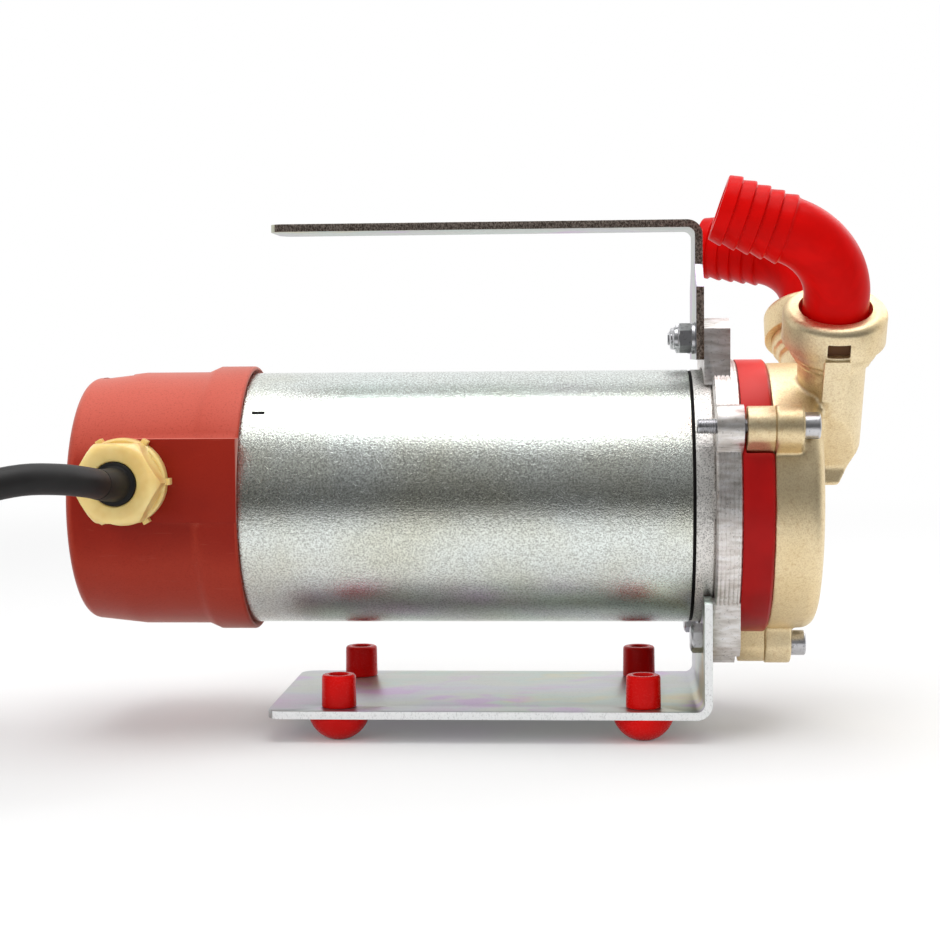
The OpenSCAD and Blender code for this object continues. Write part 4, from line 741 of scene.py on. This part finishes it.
def add_cap_screws():
    """Three cap screws round the casing: a threaded tail, a knurled head and a hexagon socket."""
    circle_r, seat = 58.9, 117.65
    tail, head, thread_end = seat - 39.5, seat + 6, seat - 14
    shank = dense(softened([(tail, 2.2, 0), (tail + 0.6, 3, 0.2), (thread_end, 3, 0)]), THREAD_STEP)
    rest = softened([(seat, 3, 0), (seat, 4.95, 0.2), (seat + 0.5, 5, 0), (head - 1.2, 5, 0),
                     (head - 0.5, 5, 0.4), (head, 4.4, 0.2), (head, 3.0, 0.1), (head - 0.3, 9, 0, 2.5),
                     (head - 3, 9, 0, 2.5), (head - 3.6, 0.3, 0)])
    groove = thread(tail + 0.4, thread_end)

    def swell(along, angle):
        knurl = (np.abs(np.sin(angle * 24)) < 0.55) * (along > seat + 0.5) * (along < head - 1.2)
        return groove(along, angle) - 0.14 * knurl

    rows = np.concatenate([shank, rest])
    skins = []
    for angle in np.radians((30, 150, 270)):
        place = along_x(0, -circle_r * math.cos(angle), AXIS_Z + circle_r * math.sin(angle))
        skins.append(skin(turned(rows, place, 96, swell)))
    stand_in("cap_screws", skins, "pump_bolts")


def pair_along_x(apart, height):
    """Two carriers along X, one on each side of the middle."""
    return [along_x(0, y, AXIS_Z + height) for y in (-apart, apart)]


def add_bracket_fasteners():
    """The base's hexagon bolts, and the handle's threaded studs with their lock nuts and washers."""
    bolt = softened([(76.65, 3.6, 0.3, 5), (76.95, 4.75, 0.3, 5), (78.0, 6.2, 0.4, 5), (81.1, 6.2, 0.2, 5),
                     (81.25, 5.6, 0, 5), (81.25, 3, 0), (92.4, 3, 0.3), (92.75, 2.5, 0)])
    stand_in("hexagon_bolts", [skin(turned(bolt, place, 96)) for place in pair_along_x(28, -53.1)],
             "base_bolts")
    places = pair_along_x(15, 62.4)
    stud = dense(softened([(69.95, 2.3, 0), (70.55, 3, 0.2), (89.95, 3, 0)]), THREAD_STEP)
    stand_in("threaded_studs", [skin(turned(stud, place, 48, thread(69.9, 90))) for place in places],
             "handle_studs")
    nut = softened([(70.95, 3.05, 0), (70.95, 3.7, 0.2), (71.25, 4.35, 0.5), (72.7, 4.45, 0.2),
                    (72.9, 4.7, 0.2, 5), (73.6, 6, 0.4, 5), (77.5, 6, 0.3, 5), (77.95, 5.2, 0.2, 5),
                    (77.95, 3.05, 0)], True)
    washer = softened([(77.95, 3.2, 0), (77.95, 6.1, 0.2), (79.3, 6.25, 0.2), (79.45, 6.1, 0),
                       (79.45, 3.2, 0)], True)
    stand_in("lock_nuts", [skin(turned(rows, place, 96), True) for place in places for rows in (nut, washer)],
             "handle_nuts")


def add_feet():
    """Rubber feet: a dome from a circle arc, a neck in the plate and a bored stud above it."""
    dome_d, dome_h, flat_h = 23.6, 9.3, 0.5
    cap = dome_h + flat_h
    ball = (dome_d ** 2 / 4 + cap * cap) / 2 / cap
    z = np.linspace(0, dome_h, 22)
    arc = np.stack([z, np.sqrt(ball ** 2 - (ball - flat_h - z) ** 2), np.zeros(22)], -1)
    # The rim under the plate is drawn in a little
    arc[-2:, 1] -= 0.03, 0.25
    top = softened([(dome_h, 11.3, 0), (dome_h, 4.7, 0), (12.3, 4.7, 0), (12.3, 6.5, 0.3), (12.9, 6.7, 0.5),
                    (24.2, 6.55, 0.6), (24.9, 5.9, 0.5), (24.9, 4.1, 0.4), (24.3, 3.65, 0.4),
                    (9.9, 3.65, 0.6), (9.9, 0.3, 0)])
    rows = np.concatenate([[[0, 0.3, 0]], arc, top])
    for side, sy in (("near", -1), ("far", 1)):
        for end, sx in (("rear", -1), ("front", 1)):
            name = f"foot_{side}_{end}"
            place = straight((sx * 58.5, sy * 37, 0), Z, X, Y)
            stand_in("rubber_" + name, [skin(turned(rows, place, 64))], name)


def add_gland_nut():
    """Hexagon compression nut: flats above and below, round shoulder, and a lip round the cable's mouth."""
    place = straight((-136.95, 0, 100.7), -Y, X, Z)
    corner_r, flat_r = 17.0, 14.75
    rows = softened([(57.7, 10.2, 0.2), (57.7, corner_r, 0.3, flat_r), (66.2, corner_r, 2.2, flat_r),
                     (69.9, 14.6, 2.4, flat_r), (69.9, 8.7, 0.4), (69.4, 8.3, 0.3), (67.9, 8.3, 0.2),
                     (67.9, 10.2, 0)], True, 8)
    stand_in("compression_nut", [skin(turned(rows, place, 144, offset=-math.radians(30)), True)], "gland_nut")


def add_tube():
    """Motor tube: a long thin-walled ring with softly broken ends."""
    rows = softened([(-104.75, 48.55, 0.2), (-104.75, 50, 0.5), (77.05, 50, 0.4), (77.05, 48.5, 0.2)], True)
    stand_in("zinc_motor_tube", [skin(turned(rows, along_x(0, 0, AXIS_Z), 256), True)], "motor_tube")


PORT_X, PORT_LEAN, SWIVEL = 130.25, math.radians(30), math.radians(-10)


def port_frame(side, swivel=0.0):
    """Origin and axes of a port's own frame: its third axis runs out along the port."""
    lean = -side * PORT_LEAN
    tilt = np.array([[1, 0, 0], [0, math.cos(lean), -math.sin(lean)], [0, math.sin(lean), math.cos(lean)]])
    spin = np.array([[math.cos(swivel), -math.sin(swivel), 0], [math.sin(swivel), math.cos(swivel), 0],
                     [0, 0, 1]])
    return np.array([PORT_X, 0, AXIS_Z]), tilt @ spin


def add_elbow(side, name):
    """Swivel elbow: one profile carried up the leg, round the bend of 74 degrees and out along the tail,
    then back down the bore; each barb rises steeply and falls in a soft slope to the next."""
    origin, axes = port_frame(side, SWIVEL)
    leg, bend_r, bend = 89.5, 26.6, math.radians(74)
    bend_end = leg + bend_r * bend

    def place(along):
        phi = np.clip((along - leg) / bend_r, 0, bend)
        rise = np.minimum(along, leg) + bend_r * np.sin(phi)
        over = np.maximum(along - bend_end, 0)
        centre = np.stack([-bend_r + bend_r * np.cos(phi) - over * math.sin(bend), 0 * along,
                           rise + over * math.cos(bend)], -1)
        first = np.stack([np.cos(phi), 0 * phi, np.sin(phi)], -1)
        return origin + centre @ axes.T, first @ axes.T, np.ones((len(along), 1)) * (Y @ axes.T)

    tube_r, bore_r, flange_r, barb_r = 12.25, 8.5, 16.3, 13.25
    tail_len, barbs = 26.5, 5
    rows = [(77.1, bore_r, 0.3), (77.1, flange_r, 0.3), (80, flange_r, 0.5), (80, tube_r, 0.8),
            (bend_end - 0.4, tube_r, 0.6)]
    for i in range(barbs):
        start = bend_end + i * (tail_len / barbs)
        if i:
            rows.append((start - 0.05, 12.15, 0.3))
        rows += [(start + 0.3, barb_r, 0.35), (start + 1.2, barb_r - 0.1, 0.6)]
    rows += [(bend_end + tail_len, 12.3, 0.5), (bend_end + tail_len, bore_r, 0.5)]
    profile = dense(softened(rows, True, 5), 1.0, True)
    stand_in(name + "_moulding", [skin(turned(profile, place, 80), True)], name)


# The nodes that keep their form
NUT_FOOT = 71.4


def port_bar(side, outline, inner, outer):
    """A bar on the outward side of a port, between two distances from its axis."""
    origin, axes = port_frame(side)
    return prism(outline, side * inner, side * outer, (axes[:, 0], axes[:, 2], axes[:, 1]), origin)


def add_catch(side, nut):
    """Catch under a union nut's window: a bracket on the nut, a dark brown plate behind the window that is
    painted shade for the window's depth, and a rib down the port's neck. Gives back the pocket that the window
    cuts into the nut."""
    def bar(left, right, low, high, inner, outer):
        corners = [(left, low), (right, low), (right, high), (left, high)]
        outline = softened([(a, NUT_FOOT + b, 0.7) for a, b in corners], True)[:, :2]
        return port_bar(side, outline, inner, outer)

    brass, turning = FINISHES["sandblasted_brass"], nodes[nut]["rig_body"]
    window = (-4.4, 4.05, 2.2, 7.6)
    piece(nut + "_bracket", [bar(-5.2, 4.2, -6.4, 1.2, 16.5, 20.6)], brass, body=turning)
    # A dark brown plate behind the window: painted shade for its depth.
    piece(nut + "_seal", [bar(*window, 16, 17.2)], FINISHES["brown_seal"], body=turning)
    piece(nut + "_rib", [bar(-4.6, 2.4, -19, -6.6, 10, 15.4)], brass, body=nodes["pump_cover"]["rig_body"])
    return bar(*window, 17, 22)


def corner_cut(side):
    """The flat corner of the manifold that stands out past a port's round neck."""
    origin, axes = port_frame(side)
    outline = [(4, 12.5), (6.5, 11.35), (9.9, 8.5), (14, 8.5), (14, 16), (4, 16)]
    return prism(outline, 32, 45, (axes[:, 0], side * axes[:, 1], axes[:, 2]), origin)


def add_pump_cover():
    """Front casting: its duct filled out below the ports, sloped in front and on both sides, and the
    manifold's flat corners taken off."""
    fill = prism([(124, 95.3), (136.4, 95.3), (142.6, 109), (142.6, 115), (124, 115)], -12, 12, (X, Z, Y))
    front = prism([(143.1, 112), (134.9, 94.8), (134.9, 86), (149, 86), (149, 112)], -50, 50, (X, Z, Y))
    sides = [prism([(s * 12, 102.7), (s * 47, 134.9), (s * 47, 84), (s * 12, 84)], 126.3, 149, (Y, Z, X))
             for s in (-1, 1)]
    corners = [corner_cut(side) for side in (-1, 1)]
    cast("pump_cover", 0.75, 5, [front, *sides, *corners], [fill])


def add_eased_nodes():
    """The nodes whose edges only need a small round, with the union nuts' windows cut into them."""
    rounds = {"base_bracket": 0.35, "handle_bracket": 0.35, "front_shield": 0.3, "adapter_flange": 0.35,
              "spacer_ring": 0.4, "pump_body": 0.4, "gland_body": 0.35, "rear_cover": 0.5,
              "near_union_nut": 0.4, "far_union_nut": 0.4, "switch_body": 0.25, "switch_rocker": 0.35,
              "terminal_block": 0.3}
    sheared = {"base_bracket": "bright_sheared_edge", "handle_bracket": "dark_sheared_edge"}
    pockets = {nut: [add_catch(side, nut)] for side, nut in ((-1, "near_union_nut"), (1, "far_union_nut"))}
    for name, width in rounds.items():
        eased(name, width, sheared.get(name), pockets.get(name, ()))


def finish_plain_nodes():
    """The nodes that are shown as they are get the finish of their slot."""
    for name, node in nodes.items():
        if not node.hide_render:
            node.data.materials.clear()
            node.data.materials.append(FINISHES[slot_of[name]])


# Studio
WHITE = (1, 1, 1, 1)


def stage_material(name, shade):
    """A material whose only shader is the one that shade builds in its graph."""
    material = bpy.data.materials.new(name)
    graph = Graph(material)
    graph.tree.nodes.remove(graph.tree.nodes["Principled BSDF"])
    graph.feed(graph.tree.nodes["Material Output"].inputs["Surface"], shade(graph))
    return material


def white_glow(graph, strength=1.0):
    """An even white glow."""
    return graph.node("ShaderNodeEmission", {}, {"Color": WHITE, "Strength": strength})


def floor_shade(graph):
    """Plain pale surface; camera, glossy and clear rays see it lifted to white away from the object."""
    near, far, near_lift, far_lift = 0.42, 1.3, 0.12, 1.0
    place = graph.node("ShaderNodeTexCoord", {}, {}, "Object")
    away = graph.node("ShaderNodeVectorMath", {"operation": "LENGTH"}, {0: place}, "Value")
    lift = graph.node("ShaderNodeMapRange", {"interpolation_type": "SMOOTHSTEP"},
                      {0: away, 1: near, 2: far, 3: near_lift, 4: far_lift})
    seen, *others = [graph.node("ShaderNodeLightPath", {}, {}, ray)
                     for ray in ("Is Camera Ray", "Is Glossy Ray", "Is Transmission Ray")]
    for ray in others:
        seen = graph.node("ShaderNodeMath", {"operation": "ADD", "use_clamp": True}, {0: seen, 1: ray})
    pale = graph.node("ShaderNodeBsdfDiffuse", {}, {"Color": (0.86, 0.86, 0.86, 1)})
    return graph.node("ShaderNodeMixShader", {}, {0: lift * seen, 1: pale, 2: white_glow(graph)})


def stage_sheet(name, grid, material):
    """An open grid of points as one stage surface."""
    rows, cols = grid.shape[:2]
    index = np.arange(rows * cols).reshape(rows, cols)
    quads = np.stack([index[:-1, :-1], index[1:, :-1], index[1:, 1:], index[:-1, 1:]], -1).reshape(-1, 4)
    mesh = bpy.data.meshes.new(name)
    mesh.from_pydata(grid.reshape(-1, 3).tolist(), [], quads.tolist())
    mesh.materials.append(material)
    made = put(name, mesh)
    return made


def add_cards():
    """Three bands of one dim card that only reflections see. The card lies on the floor round the camera's
    side of the object, then rises as part of a ball, and its bands are brighter upwards."""
    azimuth = np.radians(np.linspace(-172, -8, 40))[:, None]
    height = np.radians(np.linspace(0, 60, 21))[None]
    radius, lift = 2.4, 0.004
    out = np.concatenate([[[0.36, 1.2]], radius * np.cos(height)], 1)
    up = np.concatenate([[[lift, lift]], lift + radius * np.sin(height)], 1)
    card = np.stack([out * np.cos(azimuth), out * np.sin(azimuth), up + 0 * azimuth], -1)
    for name, band, glow in (("low_card", card[:, :8], 0.10), ("middle_card", card[:, 7:13], 0.26),
                             ("high_card", card[:, 12:], 0.42)):
        grey = stage_material(name + "_grey", lambda graph: white_glow(graph, glow))
        made = stage_sheet(name, band, grey)
        made.visible_camera = made.visible_diffuse = made.visible_shadow = False
        made.visible_transmission = False


def add_lamps():
    """Soft square lamps that look at the object; the near one stays out of its reflections."""
    aim = Vector((0, 0, 0.1))
    for name, where, size, power, mirrored in (("top_lamp", (0.1, -0.1, 1.5), 1.3, 15, True),
                                               ("near_lamp", (-0.9, -1.3, 0.9), 1.0, 6, False),
                                               ("far_lamp", (0.9, 1.0, 1.0), 1.0, 5, True)):
        data = bpy.data.lights.new(name, "AREA")
        data.size, data.energy = size, power
        lamp = put(name, data)
        lamp.location = where
        lamp.rotation_euler = (aim - Vector(where)).to_track_quat("-Z", "Y").to_euler()
        lamp.visible_glossy = mirrored


def add_world():
    """White world, dimmer for the light that it gives to dull surfaces."""
    world = bpy.data.worlds.new("studio")
    bpy.context.scene.world = world
    graph = Graph(world)
    sky = graph.tree.nodes["Background"]
    dull = graph.node("ShaderNodeLightPath", {}, {}, "Is Diffuse Ray")
    graph.feed(sky.inputs["Strength"], graph.node("ShaderNodeMapRange", {}, {0: dull, 3: 1.0, 4: 0.56}))
    graph.feed(sky.inputs["Color"], WHITE)


def add_studio():
    """Pale floor, reflection card, soft lamps and a white world."""
    reach = np.array([[[x, y, 0.0] for y in (-30, 30)] for x in (-30, 30)], float)
    stage_sheet("floor", reach, stage_material("floor_white", floor_shade))
    add_cards()
    add_lamps()
    add_world()
    bpy.context.scene.view_settings.view_transform = "Standard"


add_camera()
add_cable()
add_cap_screws()
add_bracket_fasteners()
add_feet()
add_tube()
add_gland_nut()
add_elbow(-1, "near_elbow")
add_elbow(1, "far_elbow")
add_eased_nodes()
add_pump_cover()
finish_plain_nodes()
add_studio()
